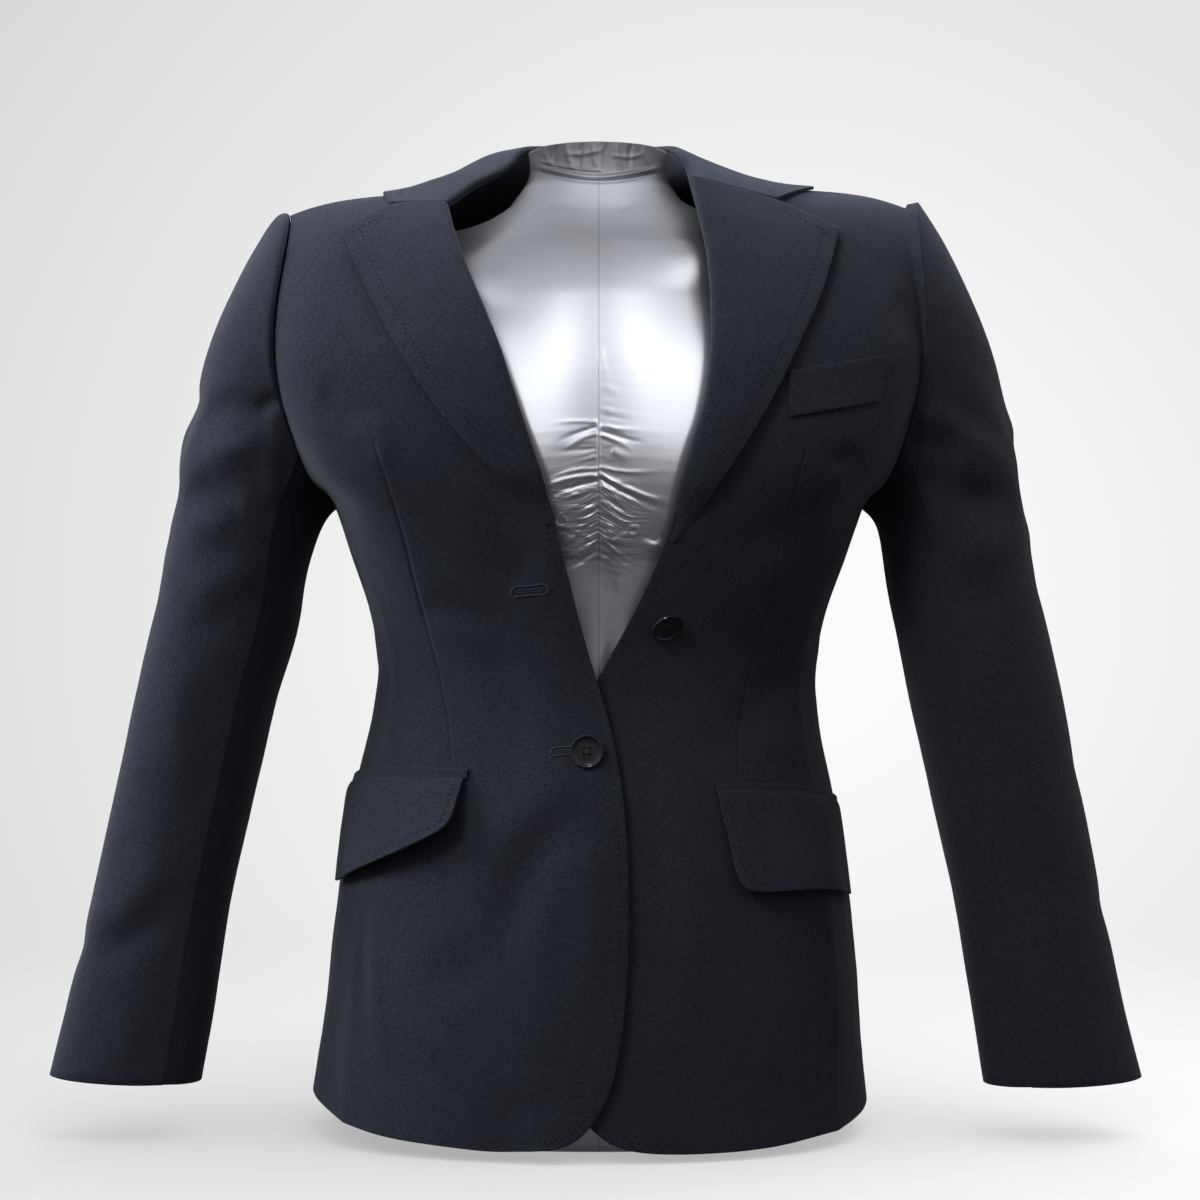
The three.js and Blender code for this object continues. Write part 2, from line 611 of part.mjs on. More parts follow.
// ---------------------------------------------------------------- collar and lapels

// A wall about a middle sheet of points, with its thickness across the sheet.
function sheetWall(grid, thickness) {
  const rows = grid.length;
  const cols = grid[0].length;
  const normalAt = (j, i) => {
    const across = grid[j][Math.min(i + 1, cols - 1)].clone().sub(grid[j][Math.max(i - 1, 0)]);
    const upward = grid[Math.min(j + 1, rows - 1)][i].clone().sub(grid[Math.max(j - 1, 0)][i]);
    return across.cross(upward).normalize();
  };
  const shift = (by) => grid.map((row, j) =>
    row.map((point, i) => point.clone().addScaledVector(normalAt(j, i), by)));
  return wall(shift(thickness / 2), shift(-thickness / 2));
}

const lapelTrack = { right: tracks(LAPEL.right, 'at'), left: tracks(LAPEL.left, 'at') };

// A place on a lapel in X and Z: from the roll (0) to the outer edge (1), and up from the break.
function lapelPlace(side, across, up) {
  const roll = edgeTrack[side];
  const outer = lapelTrack[side];
  const rollAt = 1 + (ROLL_TOP - 1) * up;
  const row = blend([roll.x(rollAt), roll.z(rollAt)], [outer.x(up), outer.z(up)], across);
  const from = [roll.x(ROLL_TOP), roll.z(ROLL_TOP)];
  const notch = [NOTCH[side].x, NOTCH[side].z];
  const tip = [outer.x(1), outer.z(1)];
  const split = NOTCH[side].at;
  const top = across < split
    ? blend(from, notch, across / split)
    : blend(notch, tip, (across - split) / (1 - split));
  const straight = blend(from, tip, across);
  return row.map((value, k) => value + up ** 6 * (top[k] - straight[k]));
}

// The panel's own edge at a place up the roll, straight between its rows.
function rollPoint(side, at) {
  const i = clamp(ROWS_HIGH.findIndex((next) => next > at) - 1, 0, ROWS_HIGH.length - 2);
  const [from, to] = [ROWS_HIGH[i], ROWS_HIGH[i + 1]];
  return onCloth(side, frontEdge(side, from))
    .lerp(onCloth(side, frontEdge(side, to)), (at - from) / (to - from));
}

// The turn of cloth at an edge: along it is the way the turned cloth lies, out is away from the body.
function turnAt(edge, along, out, room = Infinity) {
  return TURN.map((step) => edge.clone()
    .addScaledVector(along, Math.min(step.along, room))
    .addScaledVector(out, step.out));
}

function lapelRow(side, up) {
  const split = NOTCH[side].at;
  const across = [split / 2, split, (1 + split) / 2, 1];
  const at = (share) => body.placeAt(...lapelPlace(side, share, up));
  const edge = rollPoint(side, mix(1, ROLL_TOP, up));
  const normal = body.normal(...at(0.05));
  const along = onCloth(side, at(0.25)).sub(edge);
  const room = along.length() * 0.4;
  const below = rollPoint(side, mix(1, ROLL_TOP, up) - 0.05);
  along.projectOnPlane(below.sub(edge).normalize()).projectOnPlane(normal).normalize();
  const first = TURN[TURN.length - 1].out;
  return [
    ...turnAt(edge, along, normal, room),
    ...across.map((s) => laid(side, at(s),
      mix(first, lapelTrack[side].out(up), s) + 0.8 * Math.sin(Math.PI * s))),
  ];
}

// A lapel has the panel's rows and one between each.
const LAPEL_ROWS = ROWS_HIGH.filter((row) => row <= ROLL_TOP)
  .flatMap((row, i) => (i ? [(row + ROWS_HIGH[i - 1]) / 2, row] : [row]))
  .map((row) => (row - 1) / (ROLL_TOP - 1));
const lapel = (side) => sheetWall(LAPEL_ROWS.map((up) => lapelRow(side, up)), CLOTH);

// Collar points as the table gives them, with each end at its lapel's roll, notch and leaf tip.
const collarTrack = (() => {
  const gorge = (side) => {
    const row = lapelRow(side, 1);
    const [roll, notch] = [rollPoint(side, ROLL_TOP), row[TURN.length + 1]];
    const [x, y, z] = LEAF_TIP[side];
    return {
      at: SIDES[side], rollX: roll.x, rollY: roll.y, rollZ: roll.z,
      midX: notch.x, midY: notch.y, midZ: notch.z, edgeX: x, edgeY: y, edgeZ: z,
    };
  };
  return tracks([gorge('right'), ...COLLAR, gorge('left')], 'at');
})();
const collarPoint = (name, at) =>
  vector(...['X', 'Y', 'Z'].map((letter) => collarTrack[name + letter](at)));

// The neckline that the stand is sewn to, along the collar's own measure.
const NECK_POINT_AT = 0.75;
function neckline(at) {
  const side = at < 0 ? 'right' : 'left';
  const along = Math.abs(at) / NECK_POINT_AT;
  if (along <= 1) return { side, place: backNeck(side, 1 - along), point: backNeckPoint(side, 1 - along) };
  const rollLevel = frontEdge(side, ROLL_TOP)[1];
  const share = (Math.abs(at) - NECK_POINT_AT) / (1 - NECK_POINT_AT);
  const turned = (1 - (rollLevel - 1) ** CREST.square) ** (1 / CREST.round) * share;
  const level = 1 + (1 - turned ** CREST.round) ** (1 / CREST.square);
  const row = mix(2, ROLL_TOP, (2 - level) / (2 - rollLevel));
  return { side, place: frontEdge(side, row), point: rollPoint(side, row) };
}

// The back's own edge at the neck, straight between its columns.
function backNeckPoint(side, along) {
  const i = clamp(Math.floor(along * NECK_SPANS), 0, NECK_SPANS - 1);
  const [from, to] = [i, i + 1].map((k) => onCloth(side, backNeck(side, k / NECK_SPANS)));
  return from.lerp(to, along * NECK_SPANS - i);
}

// The collar's section: its foot just inside the neckline, the roll, and the way it turns over.
function collarFrame(at) {
  const { side, place, point: foot } = neckline(at);
  const normal = body.normal(...place);
  const step = Math.abs(at + 0.01) < 1 ? 0.01 : -0.01;
  const tangent = body.point(...neckline(at + step).place).sub(body.point(...place)).normalize();
  const inward = tangent.cross(normal).normalize();
  if (inward.dot(vector(0, NECK_Y, foot.z).sub(foot)) < 0) inward.negate();
  foot.addScaledVector(inward, SEAM + 0.4);
  const roll = collarPoint('roll', at);
  const stand = Math.abs(at) > 0.95 ? inward.clone() : roll.clone().sub(foot).normalize();
  const fall = collarPoint('mid', at).sub(roll).normalize();
  const along = fall.sub(stand).normalize();
  const out = normal.clone().projectOnPlane(along).normalize();
  return { side, foot, normal, inward, roll, stand, along, out };
}

// Lifts a point of the fall clear of the shoulders under it.
function clearOfShoulders(point) {
  const side = point.x < 0 ? 'right' : 'left';
  const rise = cover(side, point, vector(0, 0, 1));
  if (rise !== undefined) point.z += Math.max(0, rise + CLOTH / 2 + FALL_AIR);
  return point;
}

function collarFall() {
  const rows = steps(26).map((share) => {
    const half = Math.abs(2 * share - 1); // rows gather a little towards the ends
    const at = Math.sign(share - 0.5) * (1 - (1 - half) ** 1.35) || 0;
    const { side, roll, along, out } = collarFrame(at);
    if (Math.abs(at) === 1) {
      // The gorge: beside the lapel's upper edge, then out to the leaf's tip.
      const top = lapelRow(side, 1);
      const below = lapelRow(side, 0.97);
      const row = top.slice(0, TURN.length + 2).map((point, i) =>
        point.clone().addScaledVector(point.clone().sub(below[i]).normalize(), SEAM + 0.5));
      const tip = clearOfShoulders(collarPoint('edge', at));
      const notch = row[row.length - 1];
      return [...row, clearOfShoulders(notch.clone().lerp(tip, 0.5)), tip];
    }
    const turn = turnAt(roll, along, out);
    const from = clearOfShoulders(turn[turn.length - 1]);
    const [mid, edge] = [collarPoint('mid', at), collarPoint('edge', at)];
    const crisp = ease(0.85, 1, Math.abs(at));
    const fall = steps(4).slice(1).map((s) => {
      const round = from.clone().multiplyScalar((1 - s) * (1 - 2 * s))
        .addScaledVector(mid, 4 * s * (1 - s))
        .addScaledVector(edge, s * (2 * s - 1));
      const bent = s < 0.5 ? from.clone().lerp(mid, s * 2) : mid.clone().lerp(edge, s * 2 - 1);
      return clearOfShoulders(round.lerp(bent, crisp));
    });
    return [...turn, ...fall];
  });
  return sheetWall(rows, CLOTH);
}

function collarStand() {
  const end = 0.92;
  const outer = [];
  const inner = [];
  for (const share of steps(20)) {
    const { foot, inward, normal, roll, stand, out } = collarFrame(mix(-end, end, share));
    const top = roll.clone().addScaledVector(stand, -0.3);
    const inside = inward.clone().sub(normal);
    inside.addScaledVector(stand, -inside.dot(stand)).normalize();
    outer.push(steps(2).map((s) => foot.clone().lerp(top, s)));
    inner.push(outer[outer.length - 1].map((point, i) => {
      const way = inside.clone().lerp(out.clone().negate(), i / 2).normalize();
      return point.clone().addScaledVector(way, CLOTH);
    }));
  }
  return wall(outer, inner);
}

// ---------------------------------------------------------------- sleeves

const sleeveTrack = Object.fromEntries(Object.entries(SLEEVE).map(([side, rows]) =>
  [side, tracks(rows.map((row, i) => ({ at: i / (rows.length - 1), ...row })), 'at')]));

// A ring of the sleeve as its table gives it, before the armhole's own curve and the folds.
function sleeveRing(side, degrees, along) {
  const ring = sleeveTrack[side];
  const turn = radians(degrees);
  const [across, ahead] = [Math.cos(turn), Math.sin(turn)];
  const n = SLEEVE_SQUARE;
  const unit = (Math.abs(across) ** n + Math.abs(ahead) ** n) ** (-1 / n);
  const share = (1 + across * unit) / 2;
  return vector(
    mix(ring.inX(along), ring.outX(along), share),
    ring.y(along) - ahead * unit * ring.depth(along),
    mix(ring.inZ(along), ring.outZ(along), share),
  );
}

// The depth of the folds at a place on the sleeve.
function foldsAt(folds, degrees, z) {
  const wrapped = degrees > 200 ? degrees - 360 : degrees;
  const here = new THREE.Vector2(radians(wrapped) * GIRTH, z);
  return folds.reduce((sum, fold) => {
    const from = new THREE.Vector2(radians(fold.angle0) * GIRTH, fold.z0);
    const run = new THREE.Vector2(radians(fold.angle1) * GIRTH, fold.z1).sub(from);
    const share = clamp(here.clone().sub(from).dot(run) / run.lengthSq(), 0, 1);
    const off = from.addScaledVector(run, share).distanceTo(here) / fold.width;
    return sum + fold.depth * Math.exp(-off * off * 1.5);
  }, 0);
}

const ARM_FADE = 0.2; // the share of the sleeve over which the armhole's curve fades out
function sleevePoint(side, degrees, along) {
  const point = sleeveRing(side, degrees, along);
  const seam = body.point(...armhole(side, degrees))
    .addScaledVector(openingWay(side, degrees), SEAM + 0.1);
  const settle = seam.sub(sleeveRing(side, degrees, 0));
  point.addScaledVector(settle, 1 - ease(0, ARM_FADE, along));
  const middle = sleeveRing(side, 90, along).lerp(sleeveRing(side, 270, along), 0.5);
  const outward = point.clone().sub(middle).normalize();
  const fade = ease(0.05, 0.2, along);
  return point.addScaledVector(outward, foldsAt(SLEEVE_FOLD[side], degrees, point.z) * fade);
}

function sleeveNormal(side, degrees, along) {
  const around = sleevePoint(side, degrees + 2, along).sub(sleevePoint(side, degrees - 2, along));
  const down = sleevePoint(side, degrees, Math.min(along + 0.03, 1))
    .sub(sleevePoint(side, degrees, Math.max(along - 0.03, 0)));
  return around.cross(down).multiplyScalar(-SIDES[side]).normalize();
}

// A sleeve's wall at the armhole runs inward without crossing the body's edge.
function mitre(side, degrees, normal) {
  const way = openingWay(side, degrees);
  return normal.addScaledVector(way, -Math.max(0, normal.dot(way))).normalize();
}

const TOP_POINTS = [
  ...ARM.back.slice(1).map((degrees) => degrees - 360),
  ...[...ARM.front].reverse().slice(1, -1),
];
const UNDER_POINTS = [SLEEVE_SEAM.front, ...ARM.side, SLEEVE_SEAM.back];

function sleevePart(side, stations) {
  const outer = [];
  const inward = [];
  const { front: seam, back: hind, drift } = SLEEVE_SEAM;
  for (const along of steps(16)) {
    const shift = drift[side] * ease(0, 0.3, along);
    const row = stations.map((station) => {
      const nearSeam = station <= seam
        ? (station - hind + 360) / (seam - hind + 360)
        : (hind - station) / (hind - seam);
      const degrees = station + shift * nearSeam;
      const point = sleevePoint(side, degrees, along);
      const normal = sleeveNormal(side, degrees, along);
      return { point, way: along === 0 ? mitre(side, degrees, normal) : normal };
    });
    outer.push(row.map(({ point }) => point));
    inward.push(row.map(({ way }) => way));
  }
  drawIn(outer, SEAM + 0.3);
  return wall(outer, outer.map((row, j) =>
    row.map((point, i) => point.clone().addScaledVector(inward[j][i], -CLOTH))));
}

const sleeveTop = (side) => sleevePart(side, TOP_POINTS);
const sleeveUnder = (side) => sleevePart(side, UNDER_POINTS);

// ---------------------------------------------------------------- pockets

// A strip on the cloth between two angles, given as places and distances out for its middle.
function strip(side, rows, cols, lay, thickness) {
  const grid = rows.map((v) => cols.map((u) => {
    const { angle, z, out } = lay(u, v);
    return laid(side, [SIDES[side] * radians(angle), z / UNDERARM], out);
  }));
  return sheetWall(grid, thickness);
}

const ends = (rows) => [rows[0].angle, rows[rows.length - 1].angle];

function jet(side) {
  const at = tracks(JET[side], 'angle');
  const [first, last] = ends(JET[side]);
  return strip(side, [0, 1], steps(8), (u, v) => {
    const angle = mix(first, last, u);
    return { angle, z: mix(at.top(angle), at.bottom(angle), v), out: SEAM + 0.7 + TRIM / 2 };
  }, TRIM);
}

function flap(side) {
  const at = tracks(FLAP[side], 'angle');
  const jetBottom = track(JET[side], 'angle', 'bottom');
  const [first, last] = ends(FLAP[side]);
  const rows = [0, 0.1, 0.25, 0.5, 0.75, 1];
  const cols = [0, 0.03, 0.08, 0.2, 0.35, 0.5, 0.65, 0.8, 0.9, 1];
  return strip(side, rows, cols, (u, v) => {
    const angle = mix(first, last, u);
    const hang = clamp((v - 0.1) / 0.9, 0, 1);
    const fromJet = jetBottom(angle) - 0.7;
    const z = v <= 0.1
      ? mix(fromJet, Math.min(at.top(angle), fromJet - 1), v / 0.1)
      : mix(Math.min(at.top(angle), fromJet - 1), at.bottom(angle), hang);
    const out = v <= 0.1
      ? mix(SEAM + 0.8 + CLOTH / 2, at.crest(angle), v / 0.1)
      : mix(at.crest(angle), at.out(angle), hang);
    return { angle: angle + at.slant(angle) * hang, z, out };
  }, CLOTH);
}

function breastWelt() {
  const grid = steps(2).map((v) => steps(8).map((u) => {
    const x = mix(WELT.from[0], WELT.to[0], u) + WELT.lean * v * u;
    const z = mix(WELT.from[1], WELT.to[1], u) + WELT.high * v;
    return laid('left', body.placeAt(x, z), SEAM + 0.6 + TRIM / 2);
  }));
  return sheetWall(grid, TRIM);
}

// ---------------------------------------------------------------- buttons

// A sewn-through button, dished inside its rim, with four holes.
function buttonGeometry() {
  const { radius, thick, dish, sunk, hole, holes } = BUTTON;
  const profile = [
    [0, 0], [radius - 1.6, 0], [radius, 1.2], [radius, thick - 1.1], [radius - 1.1, thick],
    [dish + 0.9, thick], [dish, thick - sunk], [0, thick - sunk - 0.3],
  ].map(([r, h]) => new THREE.Vector2(r, h));
  let solid = solidOf(new THREE.LatheGeometry(profile, 24));
  if (solid.volume() < 0) throw new Error('the button is inside out');
  for (const turn of [45, 135, 225, 315].map(radians)) {
    const drill = new THREE.CylinderGeometry(hole, hole, thick * 3, 8);
    drill.translate(holes * Math.cos(turn), thick / 2, holes * Math.sin(turn));
    solid = solid.subtract(solidOf(drill));
  }
  return geometryOfSolid(solid);
}

// Rests a button on the highest of the facets under it.
function placeButton(mesh, { side, x, z }) {
  const place = body.placeAt(x, z);
  const normal = body.normal(...place);
  const centre = body.point(...place);
  mesh.quaternion.setFromUnitVectors(vector(0, 1, 0), normal);
  const heights = steps(12).flatMap((turn) => [0, 0.5, 1].map((share) => {
    const rim = vector(BUTTON.radius * share, 0, 0)
      .applyAxisAngle(vector(0, 1, 0), turn * 2 * Math.PI)
      .applyQuaternion(mesh.quaternion);
    return cover(side, rim.add(centre), normal) ?? 0;
  }));
  mesh.position.copy(centre).addScaledVector(normal, Math.max(...heights) + SEAM + 0.1);
}

// ---------------------------------------------------------------- the form

function torsoForm() {
  const form = shape(FORM, FORM_SHOULDER);
  const around = 44;
  const levels = [
    ...FORM.filter((row) => row.z < UNDERARM).map((row) => row.z / UNDERARM),
    ...steps(11).map((s) => 1 + Math.sin(s * Math.PI / 2) * 0.9999),
  ];
  const ringAt = (level) => Array.from({ length: around }, (_, i) =>
    form.point((i / around) * 2 * Math.PI - Math.PI, level));
  const trunk = solidOf(geometryOf(skinOver(levels.map(ringAt))));
  const neckRings = FORM_NECK.map(({ z, half, depth }) => Array.from({ length: 36 }, (_, i) => {
    const turn = (i / 36) * 2 * Math.PI;
    return vector(half * Math.sin(turn), NECK_Y - depth * Math.cos(turn), z);
  }));
  return geometryOfSolid(trunk.add(solidOf(geometryOf(skinOver(neckRings)))));
}

// ---------------------------------------------------------------- assembly

const navy = new THREE.Color(0.02, 0.024, 0.032);
const finish = {
  cloth: () => new THREE.MeshStandardMaterial({ color: navy, roughness: 0.92, metalness: 0 }),
  button: () => new THREE.MeshStandardMaterial({ color: 0x0b0b0d, roughness: 0.25, metalness: 0 }),
  satin: () => new THREE.MeshStandardMaterial({ color: 0xbfc3c8, roughness: 0.38, metalness: 0.1 }),
};
const blazer = new THREE.Group();

function add(name, geometry, material) {
  const mesh = new THREE.Mesh(geometry, material);
  mesh.name = name;
  blazer.add(mesh);
  return mesh;
}

const SEWN_ON = { lapel, sleeve_top: sleeveTop, sleeve_under: sleeveUnder, jet, flap };
for (const side of Object.keys(SIDES)) {
  for (const [name, wallOf] of Object.entries(cut[side])) {
    add(`${name}_${side}`, geometryOf(wallOf), finish.cloth());
  }
  for (const [name, make] of Object.entries(SEWN_ON)) {
    add(`${name}_${side}`, geometryOf(make(side)), finish.cloth());
  }
}
add('collar_fall', geometryOf(collarFall()), finish.cloth());
add('collar_stand', geometryOf(collarStand()), finish.cloth());
add('breast_welt', geometryOf(breastWelt()), finish.cloth());
for (const button of BUTTONS) {
  placeButton(add(button.name, buttonGeometry(), finish.button()), button);
}
add('torso_form', torsoForm(), finish.satin());

export default blazer;
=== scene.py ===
"""A dark wool blazer on a limbless torso form: its cloth, stitching, buttons and satin, built
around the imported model. Lengths in the tables are millimetres in the frame's axes: +Z up, the
front towards -Y, the wearer's right towards -X."""
import heapq
import math
import random

import bmesh
import bpy
import numpy as np
from bpy.props import FloatProperty, FloatVectorProperty, IntProperty, PointerProperty
from mathutils import Matrix, Vector, noise
from mathutils.bvhtree import BVHTree


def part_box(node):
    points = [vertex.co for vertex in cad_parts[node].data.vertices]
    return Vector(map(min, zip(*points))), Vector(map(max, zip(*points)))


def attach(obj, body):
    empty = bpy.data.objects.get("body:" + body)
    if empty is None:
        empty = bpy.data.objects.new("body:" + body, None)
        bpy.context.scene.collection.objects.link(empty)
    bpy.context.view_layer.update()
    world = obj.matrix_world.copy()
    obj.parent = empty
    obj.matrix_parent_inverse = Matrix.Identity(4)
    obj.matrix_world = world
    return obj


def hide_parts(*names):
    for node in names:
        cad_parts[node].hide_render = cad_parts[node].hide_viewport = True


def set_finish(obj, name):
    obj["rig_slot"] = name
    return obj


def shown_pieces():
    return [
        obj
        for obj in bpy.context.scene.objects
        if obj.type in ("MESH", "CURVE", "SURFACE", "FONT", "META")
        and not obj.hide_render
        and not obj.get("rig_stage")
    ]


bl_info = {
    "name": "Wool Blazer",
    "version": (1, 0, 0),
    "blender": (4, 5, 0),
    "location": "View3D > Sidebar > Blazer",
    "description": "Builds a wool blazer and the satin torso form that wears it",
    "category": "Add Mesh",
}

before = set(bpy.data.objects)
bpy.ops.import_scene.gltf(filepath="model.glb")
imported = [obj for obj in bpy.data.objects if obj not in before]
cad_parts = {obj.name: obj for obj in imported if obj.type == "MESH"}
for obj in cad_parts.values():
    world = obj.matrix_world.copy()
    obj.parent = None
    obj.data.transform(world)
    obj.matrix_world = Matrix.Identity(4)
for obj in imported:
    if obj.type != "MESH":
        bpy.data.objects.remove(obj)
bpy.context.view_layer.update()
BODY = "root"
MM = 0.001

# ------------------------------------------------------------------ tables


def table(columns, *rows):
    """A short table: a dictionary of named columns for each row."""
    names = columns.split()
    return [dict(zip(names, row)) for row in rows]


def column(rows, name):
    return np.array([row[name] for row in rows], float)


# Rings that tell which way is out of the body at each height.
BODY_RING = table(
    "z half front back",
    (0, 184, 119, 114), (165, 164, 117, 111), (300, 144, 100, 86), (387, 168, 118, 100),
    (464, 203, 121, 106), (600, 216, 92, 96),
)
# The middle line inside a sleeve, by height.
SLEEVE_LINE = table(
    "z x y",
    (40, 297, -35), (90, 287, -33), (120, 282, -30), (180, 270.5, -22), (240, 258.5, -15),
    (300, 245.5, -8), (360, 232.5, -3), (400, 222, 0), (460, 214, 2), (600, 214, 0),
)

# Folds: a line from one point to another on a face, bowed sideways at its middle, how far it
# spreads to each side, and how high it stands (a trough is negative).
FOLD = "face x1 z1 x2 z2 bow half lift"
BODY_FOLDS = table(
    FOLD,
    # Right front, above the waist.
    ("front", -168, 470, -143, 445, 3, 8, -2.2), ("front", -136, 452, -128, 420, -2, 7, 1.5),
    ("front", -176, 545, -170, 470, 6, 15, 1.6), ("front", -120, 500, -150, 560, -8, 20, -1.4),
    ("front", -50, 372, -44, 350, 0, 8, -1.7), ("front", -106, 338, -50, 317, -3, 8, -1.7),
    ("front", -104, 322, -64, 306, -3, 9, 0.9), ("front", -125, 380, -100, 345, 4, 12, 0.9),
    ("front", -128, 300, -112, 270, 3, 8, -1.1), ("front", -84, 410, -60, 372, 4, 14, 1.1),
    # Right front, folds that fan out under the lower button.
    ("front", -16, 234, -80, 165, 6, 17, 2.6), ("front", -12, 216, -57, 128, 8, 13, -2.8),
    ("front", -52, 134, -118, 86, 4, 16, -1.8), ("front", -4, 196, -10, 92, -3, 11, 1.4),
    ("front", -96, 150, -108, 56, 4, 22, 1.2), ("front", -44, 96, -52, 28, 3, 18, 0.8),
    ("front", -139, 132, -130, 52, 2, 7, 1.6), ("front", -150, 168, -145, 84, 1, 6, -2.2),
    # Left front.
    ("front", 20, 216, 30, 72, -4, 17, -2.6), ("front", 38, 228, 62, 96, -6, 15, 1.8),
    ("front", 126, 300, 78, 246, 4, 12, -2.4), ("front", 62, 312, 64, 252, 3, 18, 1.6),
    ("front", 157, 432, 143, 419, 1, 6, -2.4), ("front", 150, 418, 134, 396, 2, 8, 1.2),
    ("front", 145, 402, 74, 371, -5, 15, -2.2), ("front", 124, 368, 86, 312, 4, 15, 1.3),
    ("front", 188, 532, 191, 500, 2, 8, -1.6), ("front", 176, 540, 180, 486, 3, 9, 1.2),
    ("front", 137, 140, 143, 54, 1, 6, -1.6), ("front", 148, 150, 152, 62, 1, 7, 1.3),
    ("front", 96, 118, 106, 30, 4, 20, 1.2), ("front", 68, 84, 76, 24, 3, 15, -0.9),
    ("front", 104, 262, 128, 238, 2, 9, 1.0), ("front", 100, 214, 110, 160, 2, 9, -1.0),
    # Sides, where the cloth drops from the underarm and breaks at the waist.
    ("right", -30, 378, -12, 318, 4, 9, -1.8), ("right", 20, 374, 12, 310, -4, 10, 1.5),
    ("right", -22, 300, 30, 276, 3, 8, -1.5), ("right", 8, 214, 16, 70, 4, 13, 1.8),
    ("right", -14, 160, -16, 52, 2, 9, -1.4), ("right", 44, 190, 52, 60, 3, 10, -1.6),
    ("left", -26, 376, -8, 312, 4, 9, -1.9), ("left", 26, 370, 10, 316, -4, 9, 1.4),
    ("left", -18, 292, 34, 284, 3, 8, -1.6), ("left", 0, 206, 12, 58, 4, 13, 1.9),
    ("left", 36, 186, 46, 74, 3, 10, -1.5), ("left", -22, 150, -24, 46, 2, 9, -1.1),
    # Back: soft folds from the shoulder blades into the waist, and down the skirt.
    ("back", -150, 470, -120, 396, 8, 15, -2.0), ("back", 146, 476, 116, 402, -8, 14, -2.1),
    ("back", -96, 356, -40, 322, 5, 11, -1.8), ("back", 100, 348, 38, 326, -5, 10, -1.6),
    ("back", -104, 330, -52, 300, 4, 9, 1.2), ("back", 92, 318, 50, 292, -4, 9, 1.1),
    ("back", -88, 270, -30, 286, 4, 10, -1.5), ("back", 84, 276, 34, 268, -4, 9, -1.3),
    ("back", -112, 236, -128, 60, 5, 18, 2.2), ("back", 106, 232, 120, 66, -5, 17, 2.0),
    ("back", -66, 214, -74, 40, 4, 16, -1.7), ("back", 58, 206, 72, 36, -4, 16, -1.6),
    ("back", -24, 190, -26, 40, 3, 12, 0.9), ("back", -60, 560, 60, 566, 10, 20, -1.2),
    ("back", -176, 556, -166, 480, 4, 12, 1.7), ("back", 172, 552, 166, 476, -4, 12, 1.6),
)
# Folds of the sleeves. Across is x on the front and back, and y on the outer side.
SLEEVE_FOLDS = {
    "right": table(
        FOLD,
        ("front", -195, 466, -213, 458, 1, 5, -3.4), ("front", -204, 446, -200, 394, 2, 6, 2.2),
        ("front", -246, 462, -204, 452, -4, 9, -3.2), ("front", -246, 432, -208, 441, 3, 10, 2.8),
        ("front", -258, 411, -222, 401, -3, 10, -3.0), ("front", -262, 386, -226, 392, 4, 11, 2.2),
        ("front", -255, 345, -212, 366, 4, 14, 2.6), ("front", -258, 322, -226, 330, 2, 11, -1.8),
        ("front", -262, 300, -256, 220, 4, 12, 1.4), ("front", -246, 286, -240, 214, 3, 10, -1.0),
        ("front", -324, 112, -262, 156, 5, 11, -2.8), ("front", -326, 132, -268, 180, 6, 13, 2.2),
        ("front", -290, 90, -296, 44, 2, 10, 0.9), ("front", -276, 212, -288, 160, 3, 12, 1.0),
        ("right", -34, 472, 18, 464, 4, 10, -3.0), ("right", -26, 440, 30, 446, -4, 10, 2.4),
        ("right", -36, 414, 24, 404, 4, 10, -2.6), ("right", -20, 372, 34, 362, 4, 13, 2.0),
        ("right", -30, 340, 26, 326, 3, 10, -1.6), ("right", -46, 128, 4, 108, 4, 11, -2.0),
        ("back", -250, 452, -206, 428, 5, 10, -2.8), ("back", -252, 424, -212, 398, 5, 11, 2.0),
        ("back", -260, 380, -216, 362, 4, 11, -2.2), ("back", -262, 336, -226, 352, -4, 12, 1.8),
        ("back", -288, 228, -244, 250, 5, 12, -1.8), ("back", -306, 150, -262, 126, 4, 12, -1.6),
    ),
    "left": table(
        FOLD,
        ("front", 196, 458, 258, 424, -5, 9, 3.2), ("front", 190, 440, 226, 426, -4, 10, -3.8),
        ("front", 222, 402, 262, 412, 3, 9, -2.6), ("front", 222, 364, 270, 394, 4, 12, 2.8),
        ("front", 206, 412, 214, 378, 2, 9, 1.8), ("front", 222, 346, 252, 333, -2, 12, -2.0),
        ("front", 238, 318, 262, 240, 3, 12, 1.5), ("front", 252, 268, 274, 265, 1, 3.5, -0.9),
        ("front", 250, 262, 270, 260, 1, 3.5, 0.6), ("front", 276, 160, 290, 60, 3, 14, 1.0),
        ("front", 262, 214, 276, 118, 3, 11, -1.0), ("front", 300, 150, 268, 172, 3, 10, -1.2),
        ("left", -32, 456, 20, 446, 4, 10, 2.4), ("left", -34, 414, 28, 408, 4, 9, -2.8),
        ("left", -26, 386, 32, 380, 3, 12, 2.2), ("left", -30, 350, 20, 338, 3, 10, -1.6),
        ("left", -44, 156, 2, 130, 4, 11, -1.6), ("left", -38, 240, 8, 226, 3, 12, -1.0),
        ("back", 246, 454, 202, 430, 5, 10, -2.6), ("back", 254, 418, 214, 396, 5, 11, 2.0),
        ("back", 262, 376, 220, 356, 4, 11, -2.0), ("back", 266, 330, 232, 344, -4, 12, 1.6),
        ("back", 290, 216, 250, 236, 5, 12, -1.7), ("back", 306, 140, 268, 120, 4, 12, -1.4),
    ),
}
